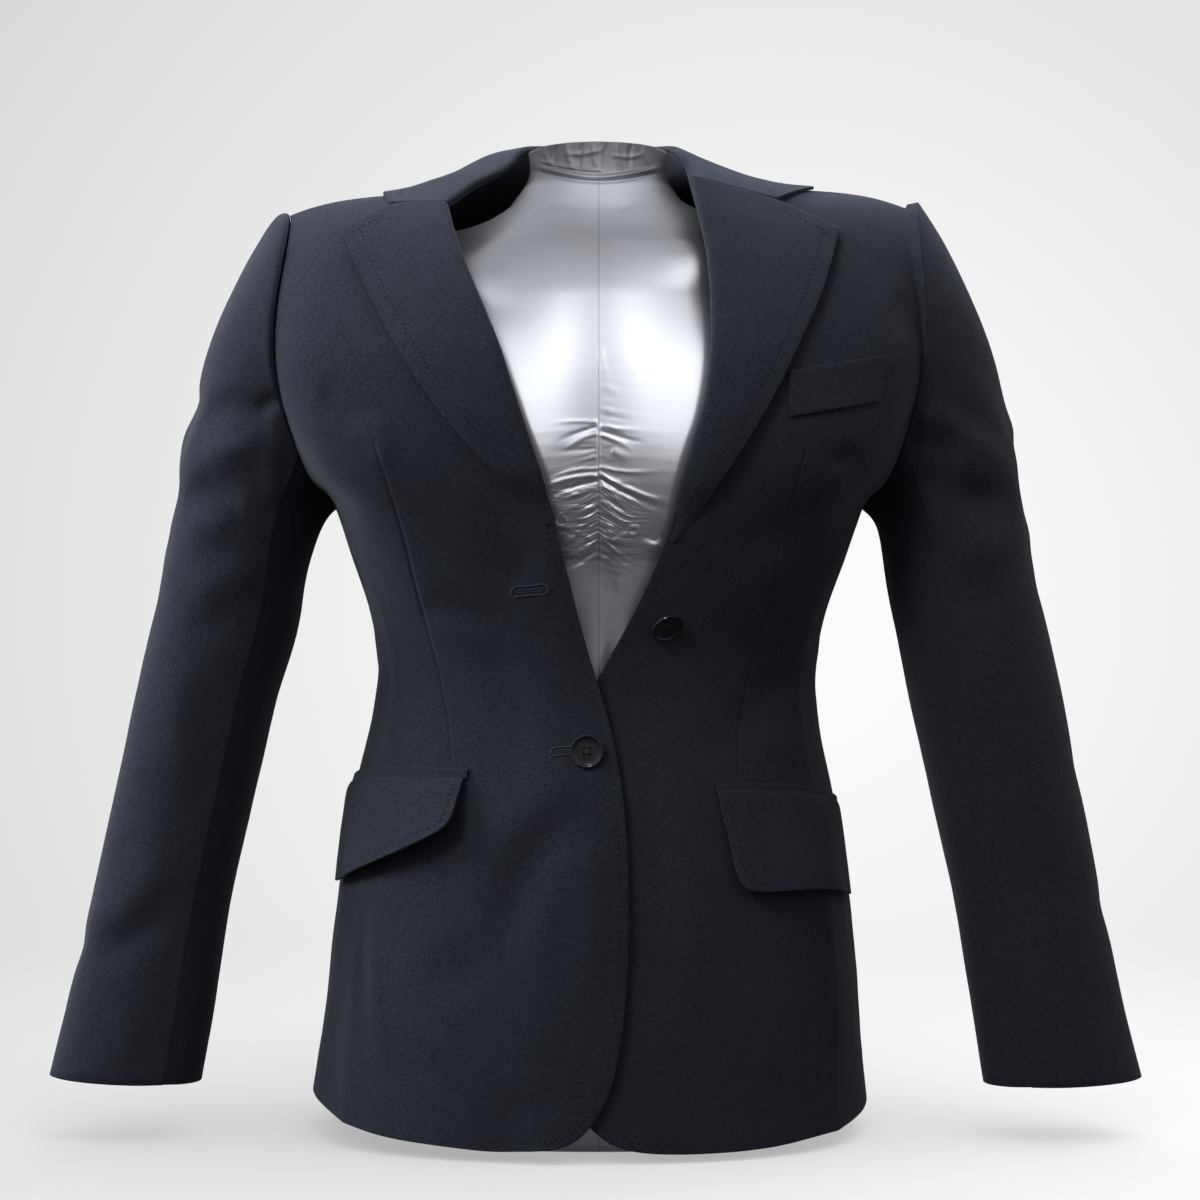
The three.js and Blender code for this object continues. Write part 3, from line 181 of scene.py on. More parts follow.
# Lines where the cloth is taken in by a dart and pressed flat, as points on the front.
DARTS = {
    "right": [(-135, 435), (-128, 411), (-118, 377), (-108.5, 334.5), (-98, 295), (-92, 265),
              (-90, 243)],
    "left": [(126, 432), (120, 408), (111, 372), (102, 332), (93, 292), (88, 262), (86, 232)],
}
# A dart's line: its half width, how deep it is, and how far from it the cloth is made finer.
DART = {"half": 0.9, "lift": -0.7, "reach": 4.5}

# The form's skin: the fullness of its front, its neck bands, the folds round its neck and the
# grooves of its centre seams.
FORM_SHAPE = table(
    FOLD,
    ("front", 0, 600, 0, 372, 0, 52, 11.5), ("front", 70, 600, 74, 536, 0, 26, 9),
    ("front", -82, 584, -88, 524, 0, 26, 6), ("front", 7, 372, 10, 290, 0, 4.5, -2.8),
    ("front", -2, 365, -14, 310, 0, 8, -0.8),
    ("front", -47, 624, 44, 620, 14, 1.5, 1.2), ("front", -47, 620.5, 44, 617, 14, 1.2, -1.0),
    ("front", -47, 627, 6, 612, 4, 1.2, 0.8), ("front", 2, 608, 44, 622, 3, 1.2, 0.8),
    ("front", -50, 612, -66, 592, 5, 2.6, 2.4), ("front", -44, 611, -56, 593, 4, 2.6, -1.8),
    ("front", 48, 612, 62, 592, -5, 2.6, 2.4), ("front", 42, 611, 53, 593, -4, 2.6, -1.8),
    ("front", -34, 629, -30, 618, 1, 1.4, 0.8), ("front", -26, 630, -27, 616, 1, 1.5, -0.9),
    ("front", -20, 631, -16, 614, 1, 1.8, 0.9), ("front", -9, 631, -12, 612, 1, 1.6, -0.8),
    ("front", -3, 631, 0, 611, 1, 1.6, 0.8), ("front", 6, 631, 5, 611, 1, 1.5, -0.8),
    ("front", 12, 631, 15, 612, 1, 1.8, 0.9), ("front", 22, 631, 20, 614, 1, 1.5, -0.9),
    ("front", 29, 630, 33, 617, 1, 1.6, 0.8), ("front", -22, 624, 4, 626, 2, 1.6, 0.7),
    ("front", 8, 622, 30, 625, 2, 1.4, 0.7),
    ("back", 0, 600, 0, 20, 0, 1.2, -0.6), ("front", 0.6, 612, 0.6, 20, 0, 0.7, -0.35),
)
# Creases that its centre seam pulls in. They start sharp and fan out.
FORM_CREASES = table(
    FOLD,
    ("front", 1, 493, 5, 470, 0, 1.3, 0.5), ("front", 2, 470, 14, 462, -1, 1.4, 0.4),
    ("front", 1, 455, 24, 452, 1, 1.1, 0.5), ("front", 1, 452.5, 22, 449, 1, 1.0, -0.5),
    ("front", 1, 445, 27, 443, 1, 1.0, 0.75), ("front", 1, 442, 32, 434, 1, 1.0, -0.8),
    ("front", 1, 439.5, 24, 428, -1, 1.4, 0.7), ("front", 0, 447, -32, 446, 1, 1.0, 0.75),
    ("front", 0, 444, -26, 434, 1, 1.1, -0.8), ("front", 0, 440, -22, 428, 2, 1.4, 0.6),
    ("front", -1, 431, -30, 429, 0, 1.2, -0.5), ("front", -1, 426, -20, 421, 0, 1.2, 0.4),
    ("front", 8, 430, 24, 422, 0, 3.4, 0.5),
    ("front", 1, 420, 38, 418, 2, 1.0, 0.8), ("front", 1, 416.5, 58, 397, 4, 1.3, 1.1),
    ("front", 1, 413.5, 52, 392, 3, 1.2, -1.0), ("front", 2, 409, 36, 396, 1, 1.1, 0.6),
    ("front", 0, 419, -34, 409, 3, 1.0, 0.8), ("front", 0, 415, -44, 400, 4, 1.4, 1.2),
    ("front", 0, 411.5, -42, 394, 3, 1.2, -1.0), ("front", 0, 407, -28, 395, 2, 1.2, 0.6),
    ("front", -1, 396, -30, 390, 2, 1.1, 0.7), ("front", -1, 376, -34, 366, -4, 1.2, 0.9),
    ("front", -10, 382, -40, 368, -3, 1.3, 0.8), ("front", -1, 371, -30, 355, -2, 1.2, -0.8),
    ("front", 2, 400, 30, 389, 2, 1.0, 0.7), ("front", 2, 366, 26, 358, 1, 1.1, 0.5),
)
# The waist seam's two ends, which show as a line with the lower edge proud, and how far that
# edge stands and fades away below.
WAIST_SEAM = table("x1 z1 x2 z2", (24, 376.5, 75, 369), (-34, 377, -75, 370))
WAIST_EDGE = {"lift": 1.1, "fade": 8}

# The small wrinkles that the centre seam's shirring throws out, by height: how far they reach to
# the wearer's right and left, how high they stand, and how close together they come.
SHIRRING = table(
    "z right left lift pitch",
    (492, 3, 6, 0.06, 7), (478, 4, 8, 0.12, 6), (462, 5, 11, 0.18, 5.5), (448, 12, 18, 0.22, 4.5),
    (434, 24, 18, 0.16, 5), (424, 18, 12, 0.1, 5), (414, 24, 22, 0.22, 4.2),
    (402, 28, 24, 0.36, 3.6), (390, 34, 24, 0.5, 3), (378, 34, 30, 0.55, 3), (368, 28, 26, 0.4, 3.2),
    (360, 14, 20, 0.2, 3.6), (355, 5, 8, 0.06, 5),
)
# The press studs whose rims show under the skin.
STUDS = table("x z radius", (-22, 387.5, 3.4), (21.5, 382, 2.8))
STUD_RIM = {"lift": 0.5, "half": 0.7}
# Parts of the form's front where the skin is made finer: how far to each side of the middle and
# how far forward they start, and their lowest and highest level.
ZONE = "half front low high"
FINE_SKIN = table(ZONE, (70, -20, 335, 700), (48, -20, 340, 496), (66, -20, 588, 700),
                  (36, -20, 348, 450))
# The yoke under the neck, where the skin is stretched even.
YOKE = {"half": 300, "front": -8, "low": 566, "high": 604}
YOKE_PASSES = 160

# How many times each kind of piece is rounded.
FINE = {"front": 3, "side": 3, "back": 2, "sleeve_top": 3, "sleeve_under": 3, "lapel": 3,
        "collar_fall": 2, "collar_stand": 2, "flap": 3, "jet": 2, "breast_welt": 2}

# Runs of hand stitches, each from one point of an edge to another, and how far in it lies.
STITCH_RUNS = table(
    "node x1 z1 x2 z2 inset",
    ("front_right", -26, 384, -70, 9, 5.2), ("front_left", 40, 372, 62, 8, 5.2),
    ("lapel_right", -31, 387, -160, 570, 8.6), ("lapel_left", 47, 376, 150, 570, 8.6),
    ("lapel_right", -158, 573, -133, 588, 8), ("lapel_left", 149, 573, 114, 590, 8),
    ("collar_fall", -139, 600, -118, 592, 7), ("collar_fall", 139, 604, 104, 594, 7),
    ("flap_right", -82.5, 228, -92, 192, 5), ("flap_right", -92, 192, -160, 163, 5),
    ("flap_left", 74, 220, 86, 162, 5), ("flap_left", 86, 162, 158, 155, 5),
)
WELD = 2e-6  # points nearer than this, in metres, are one
RIM_ANGLE = math.radians(50)  # the least turn at a wall's cut edge
BROAD = 0.14  # a side of a wall has more than this share of its surface
# How far each kind of piece is let out at its cut edges, to meet what it is sewn to.
LET_OUT = {"sleeve_top": 0.9, "sleeve_under": 0.7}
LET_OUT_ELSEWHERE = 0.45
# Where the armholes' lowest parts are drawn up, how far round, and how high.
UNDERARM = {"x": 172, "z": 390, "half": 26, "tall": 17, "lift": 11}
AT_UNDERARM = ("front", "side", "back", "sleeve_top", "sleeve_under")
# The lower ends of the lapels, which taper into the fronts: from one height down to the other,
# how deep they sink, and how far they are drawn back from the edge.
LAPEL_END = {"right": (420, 394), "left": (412, 384)}
LAPEL_SINK = 4.4
LAPEL_DRAWN_BACK = 2.4
# The slight waves that pressed cloth keeps: the height and the breadth of each kind.
WAVES = ((0.45, 46), (0.16, 15))
SIDES = {"right": -1, "left": 1}

# ------------------------------------------------------------------ shaping cloth


def smooth_step(low, high, value):
    share = np.clip((value - low) / (high - low), 0, 1)
    return share * share * (3 - 2 * share)


def unit(vectors):
    return vectors / np.maximum(np.linalg.norm(vectors, axis=1, keepdims=True), 1e-9)


def out_of_body(points):
    """The level direction out of the body at each point."""
    z = points[:, 2]
    half, front, back = (np.interp(z, column(BODY_RING, "z"), column(BODY_RING, name))
                         for name in ("half", "front", "back"))
    depth = np.where(points[:, 1] < 0, front, back)
    flat = np.stack([points[:, 0] / half**2, points[:, 1] / depth**2, 0 * z], 1)
    return unit(flat)


def out_of_sleeve(side):
    """A function for the direction out of one sleeve's middle line."""
    def direction(points):
        z = points[:, 2]
        x, y = (np.interp(z, column(SLEEVE_LINE, "z"), column(SLEEVE_LINE, name))
                for name in "xy")
        return unit(np.stack([points[:, 0] - SIDES[side] * x, points[:, 1] - y, 0 * z], 1))

    return direction


FACES = {"front": (0, -1), "back": (0, 1), "right": (-1, 0), "left": (1, 0)}


def along_fold(fold, across, up):
    """Each point's place along a fold as a share, how far it is beside it, and the fold's length."""
    run = np.array([fold["x2"] - fold["x1"], fold["z2"] - fold["z1"]], float)
    length = np.hypot(*run)
    run /= length
    a, b = across - fold["x1"], up - fold["z1"]
    along = (a * run[0] + b * run[1]) / length
    beside = a * run[1] - b * run[0] - fold["bow"] * 4 * along * (1 - along)
    return along, beside, length


def fold_height(points, outward, folds):
    """How far the folds lift each point, in millimetres."""
    height = np.zeros(len(points))
    for fold in folds:
        face = FACES[fold["face"]]
        facing = outward[:, 0] * face[0] + outward[:, 1] * face[1]
        across = points[:, 0] if face[0] == 0 else points[:, 1]
        along, beside, length = along_fold(fold, across, points[:, 2])
        over = np.maximum(np.abs(along - 0.5) - 0.5, 0) * length
        away = np.hypot(beside, over)
        fade = np.clip(1.15 - (2 * along - 1) ** 2, 0, 1)
        height += (fold["lift"] * fade * smooth_step(0.1, 0.5, facing)
                   * np.exp(-(away / fold["half"]) ** 2))
    return height


def crease_height(points, creases):
    """How far creases on the front lift each point: sharp where they start, fading as they fan."""
    height = np.zeros(len(points))
    for crease in creases:
        along, beside, _ = along_fold(crease, points[:, 0], points[:, 2])
        half = crease["half"] * (0.6 + 0.8 * np.clip(along, 0, 1))
        fade = smooth_step(-0.02, 0.05, along) * (1 - smooth_step(0.1, 1, along))
        height += (points[:, 1] < 0) * crease["lift"] * fade * np.exp(-(beside / half) ** 2)
    return height


def distance_to_line(a, b, line):
    """Distance from each point (a, b) to a line through a list of points."""
    nearest = np.full(len(a), 1e9)
    for (x1, z1), (x2, z2) in zip(line, line[1:]):
        dx, dz = x2 - x1, z2 - z1
        share = np.clip(((a - x1) * dx + (b - z1) * dz) / (dx * dx + dz * dz), 0, 1)
        nearest = np.minimum(nearest, np.hypot(a - x1 - share * dx, b - z1 - share * dz))
    return nearest


def raise_underarm(points):
    """The points with the armholes' lowest parts drawn up, where the sleeves hang clear."""
    away = ((np.abs(points[:, 0]) - UNDERARM["x"]) / UNDERARM["half"]) ** 2
    away += ((points[:, 2] - UNDERARM["z"]) / UNDERARM["tall"]) ** 2
    lift = np.stack([0 * away, 0 * away, UNDERARM["lift"] * np.exp(-away)], 1)
    return points + lift


def unevenness(points):
    """How far the waves of pressed cloth lift each point, in millimetres."""
    return np.array([sum(height * noise.noise(Vector(p) / breadth) for height, breadth in WAVES)
                     for p in points])


def link(piece):
    bpy.context.scene.collection.objects.link(piece)
    return piece


def points_of(mesh):
    """The mesh's points in millimetres."""
    flat = np.empty(len(mesh.vertices) * 3, np.float64)
    mesh.vertices.foreach_get("co", flat)
    return flat.reshape(-1, 3) / MM


def set_points(mesh, points):
    mesh.vertices.foreach_set("co", (points * MM).ravel())
    mesh.update()


def settle(piece):
    """Applies the piece's modifiers."""
    graph = bpy.context.evaluated_depsgraph_get()
    mesh = bpy.data.meshes.new_from_object(piece.evaluated_get(graph))
    piece.modifiers.clear()
    piece.data = mesh
    return piece


def rim_faces(shape):
    """The faces of a wall's cut edges: what is left when its two broad sides are taken away."""
    groups, seen = [], set()
    for seed in shape.faces:
        if seed in seen:
            continue
        group, queue = [], [seed]
        seen.add(seed)
        while queue:
            face = queue.pop()
            group.append(face)
            for edge in face.edges:
                if edge.calc_face_angle(0) < RIM_ANGLE:
                    beside = [other for other in edge.link_faces if other not in seen]
                    seen.update(beside)
                    queue.extend(beside)
        groups.append(group)
    whole = sum(face.calc_area() for face in shape.faces)
    return {face for group in groups for face in group
            if sum(one.calc_area() for one in group) < BROAD * whole}


def let_out(shape, rims, far):
    """Lets a piece out at its cut edges, so that it meets the pieces it is sewn to."""
    moves = {}
    for face in rims:
        for vertex in face.verts:
            moves[vertex] = moves.get(vertex, Vector()) + face.normal * face.calc_area()
    for vertex, move in moves.items():
        vertex.co += move.normalized() * far * MM


def rounded_copy(node, levels, far=0.0):
    """A node's solid as a new piece, its facets rounded into one smooth wall."""
    shape = bmesh.new()
    shape.from_mesh(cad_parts[node].data)
    bmesh.ops.remove_doubles(shape, verts=shape.verts, dist=WELD)
    bmesh.ops.join_triangles(shape, faces=shape.faces, angle_face_threshold=0.7,
                             angle_shape_threshold=1.2)
    shape.normal_update()
    rims = rim_faces(shape)
    crease = shape.edges.layers.float.new("crease_edge")
    for edge in shape.edges:
        if edge.calc_face_angle(0) > RIM_ANGLE and any(face in rims for face in edge.link_faces):
            edge[crease] = 1
    let_out(shape, rims, far)
    mesh = bpy.data.meshes.new(node + "_shell")
    shape.to_mesh(mesh)
    shape.free()
    piece = link(bpy.data.objects.new(node + "_shell", mesh))
    rounding = piece.modifiers.new("rounding", "SUBSURF")
    rounding.levels = rounding.render_levels = levels
    return settle(piece)


def in_zone(zone):
    """A test of which points lie in a part of the form's front."""
    def test(points):
        return ((np.abs(points[:, 0]) < zone["half"]) & (points[:, 1] < zone["front"])
                & (points[:, 2] > zone["low"]) & (points[:, 2] < zone["high"]))

    return test


def refine(piece, wanted, times=1):
    """Splits the edges near what `wanted` picks, so that it can hold a narrow line."""
    for _ in range(times):
        shape = bmesh.new()
        shape.from_mesh(piece.data)
        shape.verts.ensure_lookup_table()
        points = np.array([vertex.co for vertex in shape.verts]) / MM
        near = wanted(points)
        edges = [edge for edge in shape.edges
                 if near[edge.verts[0].index] and near[edge.verts[1].index]]
        bmesh.ops.subdivide_edges(shape, edges=edges, cuts=1, use_grid_fill=True)
        shape.to_mesh(piece.data)
        shape.free()


def even_out(piece, wanted, times):
    """Evens the skin where it is wanted, as stretched cloth bridges a hollow."""
    shape = bmesh.new()
    shape.from_mesh(piece.data)
    inside = wanted(points_of(piece.data))
    verts = [vert for vert, chosen in zip(shape.verts, inside) if chosen]
    for _ in range(times):
        bmesh.ops.smooth_vert(shape, verts=verts, factor=0.5, use_axis_x=True, use_axis_y=True,
                              use_axis_z=True)
    shape.to_mesh(piece.data)
    shape.free()


def soften_rims(piece, width):
    """Rounds the cut edges of a wall, and shades everything between them smooth."""
    piece.data.shade_smooth()
    bevel = piece.modifiers.new("turned edge", "BEVEL")
    bevel.width = width
    bevel.segments = 2
    bevel.limit_method = "ANGLE"
    bevel.angle_limit = RIM_ANGLE
    bevel.harden_normals = True
    settle(piece)


def lay_grain(piece, place):
    """A UV map in metres that follows the cloth's grain, so that the weave does too."""
    layer = piece.data.uv_layers.new(name="grain")
    at = place(points_of(piece.data)) * MM
    corners = np.empty(len(piece.data.loops), np.int32)
    piece.data.loops.foreach_get("vertex_index", corners)
    layer.data.foreach_set("uv", at[corners].ravel())


def grain_round(outward, girth, tilt=0.0):
    """Grain that runs round a ring and up it, turned by `tilt`."""
    def place(points):
        out = outward(points)
        across = np.arctan2(out[:, 0], -out[:, 1]) * girth
        along = points[:, 2]
        return np.stack([across * math.cos(tilt) + along * math.sin(tilt),
                         along * math.cos(tilt) - across * math.sin(tilt)], 1)

    return place


# ------------------------------------------------------------------ surfaces and lines on them


class Surface:
    """A finished piece as something that lines can be laid on."""

    def __init__(self, piece):
        self.mesh = piece.data
        self.points = points_of(piece.data)
        triangles = [tuple(face.vertices) for face in piece.data.polygons]
        self.tree = BVHTree.FromPolygons([Vector(p) for p in self.points], triangles)

    def met(self, start, way):
        """The first point of the surface on the way from `start`, and which way it faces."""
        place, normal, *_ = self.tree.ray_cast(Vector(start), Vector(way))
        return place, normal


STRAY = 12  # off the outer rim, a step counts as this many times as long
FACES_OUT = 0.45  # a face whose normal has this much outward in it is on the outside
WELL_CLEAR = -400  # this far forward is in front of everything


def rim_graph(mesh, points, outward):
    """The mesh's points as each one's neighbours, where leaving the outer rim counts as far."""
    shape = bmesh.new()
    shape.from_mesh(mesh)
    shape.normal_update()
    graph, rim = {}, set()
    for edge in shape.edges:
        a, b = (vertex.index for vertex in edge.verts)
        far = float(np.linalg.norm(points[a] - points[b]))
        out = Vector(outward[a])
        sharp = len(edge.link_faces) == 2 and edge.calc_face_angle(0) > RIM_ANGLE
        if sharp and max(face.normal.dot(out) for face in edge.link_faces) > FACES_OUT:
            rim.update((a, b))
        else:
            far *= STRAY
        graph.setdefault(a, []).append((b, far))
        graph.setdefault(b, []).append((a, far))
    shape.free()
    return graph, rim


def shortest_way(graph, start, end):
    queue, came, cost = [(0.0, start)], {start: None}, {start: 0.0}
    while queue:
        far, here = heapq.heappop(queue)
        if here == end:
            break
        for there, step in graph[here]:
            if far + step < cost.get(there, 1e9):
                cost[there] = far + step
                came[there] = here
                heapq.heappush(queue, (far + step, there))
    if end not in came:
        return []
    way = [end]
    while came[way[-1]] is not None:
        way.append(came[way[-1]])
    return way[::-1]


def edge_run(surface, outward, start, end):
    """Points along a piece's edge from near `start` to near `end`, both (x, z)."""
    graph, rim = rim_graph(surface.mesh, surface.points, outward(surface.points))
    keys = np.array(sorted(rim))
    places = surface.points[keys][:, [0, 2]]
    ends = [int(keys[np.argmin(np.hypot(*(places - np.array(goal)).T))])
            for goal in (start, end)]
    return surface.points[shortest_way(graph, *ends)]


LOOK_AHEAD = 2.5  # a line's direction is read from this far behind a place to this far ahead


def resample(line, spacing):
    """Evenly spaced points on a line, each with the line's direction there."""
    steps = np.linalg.norm(np.diff(line, axis=0), axis=1)
    reach = np.concatenate([[0], np.cumsum(steps)])
    at = np.arange(spacing, reach[-1] - spacing / 2, spacing)
    ahead, behind = (np.stack([np.interp(at + shift, reach, line[:, k]) for k in range(3)], 1)
                     for shift in (LOOK_AHEAD, -LOOK_AHEAD))
    return (ahead + behind) / 2, unit(ahead - behind)


# A stitch's swell at each share of its length, and how deep its ends sink as a share of its
# thickness.
STITCH_SWELL = ((-0.5, 0.25), (-0.3, 0.9), (0, 1), (0.3, 0.9), (0.5, 0.25))
STITCH_SINK = 0.55
STITCH_SIDES = 6


def add_thread(shape, middle, along, up, length, thick):
    """One short stitch: a spindle of thread with its ends sunk in the cloth."""
    along = Vector(along).normalized()
    side = along.cross(Vector(up)).normalized()
    up = side.cross(along)
    rings = []
    for share, swell in STITCH_SWELL:
        sink = (2 * share) ** 2 * thick * STITCH_SINK
        centre = Vector(middle) + along * (share * length) - up * sink
        rings.append([shape.verts.new(
            (centre + (side * math.cos(turn) + up * math.sin(turn)) * thick / 2 * swell) * MM)
            for turn in (k * math.tau / STITCH_SIDES for k in range(STITCH_SIDES))])
    for low, high in zip(rings, rings[1:]):
        for k in range(STITCH_SIDES):
            after = (k + 1) % STITCH_SIDES
            shape.faces.new((low[k], low[after], high[after], high[k]))
    shape.faces.new(rings[0][::-1])
    shape.faces.new(rings[-1])


def piece_from(shape, name, material):
    mesh = bpy.data.meshes.new(name)
    bmesh.ops.recalc_face_normals(shape, faces=shape.faces)
    shape.to_mesh(mesh)
    shape.free()
    mesh.shade_smooth()
    mesh.materials.append(material)
    return link(bpy.data.objects.new(name, mesh))


# ------------------------------------------------------------------ materials


class Nodes:
    """Short ways to make the nodes of a material, or of the world."""

    def __init__(self, owner, shader="Principled BSDF"):
        self.owner = owner
        self.owner.use_nodes = True
        self.tree = self.owner.node_tree
        self.shader = self.tree.nodes[shader]

    def feed(self, socket, value):
        """Gives a socket a value, or a link where the value is another node's output."""
        if isinstance(value, bpy.types.NodeSocket):
            self.tree.links.new(value, socket)
        else:
            socket.default_value = value

    def add(self, kind, inputs=None, **settings):
        node = self.tree.nodes.new(kind)
        for name, value in settings.items():
            setattr(node, name, value)
        for name, value in (inputs or {}).items():
            self.feed(node.inputs[name], value)
        return node

    def math(self, operation, first, second=0.0):
        return self.add("ShaderNodeMath", {0: first, 1: second}, operation=operation).outputs[0]

    def mix(self, share, first, second):
        colours = {0: share, 6: first, 7: second}
        return self.add("ShaderNodeMix", colours, data_type="RGBA").outputs[2]

    def fade(self, value, low, high, start=0.0, end=1.0, **settings):
        """Goes from `start` to `end` as `value` goes from `low` to `high`."""
        reach = {"Value": value, "From Min": low, "From Max": high, "To Min": start, "To Max": end}
        return self.add("ShaderNodeMapRange", reach, **settings).outputs[0]

    def noise(self, place, scale, detail=2.0, distortion=0.0):
        settings = {"Vector": place, "Scale": scale, "Detail": detail, "Distortion": distortion}
        return self.add("ShaderNodeTexNoise", settings).outputs[0]

    def place(self):
        return self.add("ShaderNodeTexCoord").outputs["Object"]

    def bump(self, height, distance, strength=1.0, under=None):
        inputs = {"Height": height, "Distance": distance, "Strength": strength}
        if under is not None:
            inputs["Normal"] = under
        return self.add("ShaderNodeBump", inputs).outputs[0]

    def set(self, **values):
        """Sets sockets of the shader by name, with _ for a space."""
        for name, value in values.items():
            self.feed(self.shader.inputs[name.replace("_", " ")], value)


def shade(colour, share):
    """A setting's colour made darker or lighter, with its alpha."""
    return tuple(min(1.0, part * share) for part in colour[:3]) + (1.0,)


def new_material(name):
    return Nodes(bpy.data.materials.new(name))


def wool(settings):
    """Fine twill-woven wool: slanting yarns in the grain's own map, flecked and a little uneven."""
    nodes = new_material("wool")
    grain = nodes.add("ShaderNodeUVMap", uv_map="grain").outputs[0]
    place = nodes.place()
    part = nodes.add("ShaderNodeSeparateXYZ", {0: grain})
    pitch = math.tau / (settings.weave_pitch * MM)
    across = nodes.math("MULTIPLY", part.outputs[0], pitch)
    along = nodes.math("MULTIPLY", part.outputs[1], pitch)
    rib = nodes.math("SINE", nodes.math("ADD", across, along))
    yarn = nodes.math("SINE", nodes.math("SUBTRACT", across, nodes.math("MULTIPLY", along, 0.5)))
    weave = nodes.math("ADD", nodes.math("MULTIPLY", rib, 0.6), nodes.math("MULTIPLY", yarn, 0.4))
    nap = nodes.noise(place, 1500.0, 3.0)
    fleck = nodes.fade(nodes.noise(place, 620.0, 4.0), 0.34, 0.66)
    cloud = nodes.noise(place, 16.0, 3.0)
    height = nodes.math("ADD", nodes.math("MULTIPLY", weave, 0.35), nap)
    base = settings.colour
    flecked = nodes.mix(fleck, shade(base, 0.45), shade(base, 1.6))
    worn = nodes.mix(cloud, shade(base, 0.86), shade(base, 1.16))
    nodes.set(
        Base_Color=nodes.mix(0.5, flecked, worn), Roughness=0.85, Specular_IOR_Level=0.2,
        Sheen_Weight=settings.sheen, Sheen_Roughness=0.42, Sheen_Tint=(0.66, 0.73, 0.9, 1.0),
        Normal=nodes.bump(height, settings.weave_depth * MM))
    return nodes.owner


def thread(settings):
    """Twisted silk thread, its colour darkened well below the cloth's as painted shade of the
    dimples that the stitches pull in.
    """
    nodes = new_material("thread")
    twisted = {"Vector": nodes.place(), "Scale": 900.0, "Distortion": 1.5}
    ply = nodes.add("ShaderNodeTexWave", twisted, bands_direction="DIAGONAL").outputs[1]
    base = settings.thread_colour_with_painted_shade
    nodes.set(Base_Color=nodes.mix(ply, shade(base, 0.7), shade(base, 1.3)), Roughness=0.9,
              Specular_IOR_Level=0.1, Normal=nodes.bump(ply, 0.06 * MM))
    return nodes.owner


def twist(settings):
    """The thicker silk of the buttonholes and of the buttons' shanks."""
    nodes = new_material("buttonhole_silk")
    ply = nodes.noise(nodes.place(), 500.0)
    base = settings.silk_colour
    nodes.set(Base_Color=nodes.mix(ply, shade(base, 0.5), shade(base, 1.5)), Roughness=0.5,
              Specular_IOR_Level=0.3, Normal=nodes.bump(ply, 0.1 * MM))
    return nodes.owner


# Where the satin's fine wrinkles are, in metres: the seam they start at, the knot they gather
# about, and how far beside the seam and above or below the knot they start and end fading.
CENTRE_SEAM = 0.6 * MM
KNOT = 389 * MM
WRINKLES_BESIDE = (4 * MM, 34 * MM)
WRINKLES_ABOVE = (12 * MM, 34 * MM)
# The levels over which the skin turns into the rougher yoke with its painted shade, and the yoke
# into the neck with deeper painted shade.
YOKE_STARTS = (570 * MM, 588 * MM)
NECK_STARTS = (605 * MM, 613 * MM)


def gathers(nodes, place, part, beside):
    """The bump of fine wrinkles drawn out sideways, which die away from the gathered seam."""
    across, depth, up = part.outputs
    slant = nodes.math("SUBTRACT", nodes.math("MULTIPLY", nodes.noise(place, 34.0, 0.0), 1.3), 0.35)
    level = nodes.math("ADD", up, nodes.math("MULTIPLY", nodes.math("ABSOLUTE", across), slant))
    drawn = nodes.add("ShaderNodeCombineXYZ", {0: nodes.math("MULTIPLY", across, 0.2), 1: 0.0,
                                               2: level})
    wrinkle = nodes.noise(drawn.outputs[0], 290.0, 1.0, 0.3)
    from_knot = nodes.math("ABSOLUTE", nodes.math("SUBTRACT", up, KNOT))
    near = nodes.math("MULTIPLY", nodes.fade(beside, *WRINKLES_BESIDE, 1.0, 0.0),
                      nodes.fade(from_knot, *WRINKLES_ABOVE, 1.0, 0.0))
    share = nodes.math("MULTIPLY", near, nodes.math("LESS_THAN", depth, 0.0))
    return nodes.bump(nodes.math("MULTIPLY", wrinkle, share), 1.6 * MM)


def satin(settings):
    """Silver satin-faced skin: a soft metallic gloss over a very fine weave."""
    nodes = new_material("satin")
    place = nodes.place()
    part = nodes.add("ShaderNodeSeparateXYZ", {0: place})
    weave = nodes.noise(place, 1100.0)
    cloud = nodes.noise(place, 22.0, 4.0)
    ripple = nodes.noise(place, 60.0)
    base = settings.colour
    beside = nodes.math("ABSOLUTE", nodes.math("SUBTRACT", part.outputs[0], CENTRE_SEAM))
    seam = nodes.fade(beside, 0.1 * MM, 0.4 * MM, 1.0, 0.0)
    height = nodes.math("ADD", weave, nodes.math("MULTIPLY", ripple, 2.0))
    rough = nodes.math("ADD", nodes.math("MULTIPLY", cloud, 0.1), settings.roughness - 0.05)
    # The neck and the yoke under it carry painted shade, their colour darkened, and are rougher than
    # the stretched front.
    yoke = nodes.fade(part.outputs[2], *YOKE_STARTS)
    neck = nodes.fade(part.outputs[2], *NECK_STARTS)
    rough = nodes.math("ADD", rough, nodes.math("MULTIPLY", yoke, 0.2))
    painted_shade = nodes.math("ADD", nodes.math("MULTIPLY", yoke, 0.26), nodes.math("MULTIPLY", neck, 0.75))
    skin = nodes.mix(cloud, shade(base, 0.94), shade(base, 1.06))
    skin = nodes.mix(painted_shade, skin, shade(base, 0.42))
    nodes.set(Base_Color=nodes.mix(seam, skin, shade(base, 0.5)), Metallic=settings.metallic,
              Roughness=rough, Normal=nodes.bump(height, 0.03 * MM,
                                                 under=gathers(nodes, place, part, beside)))
    return nodes.owner


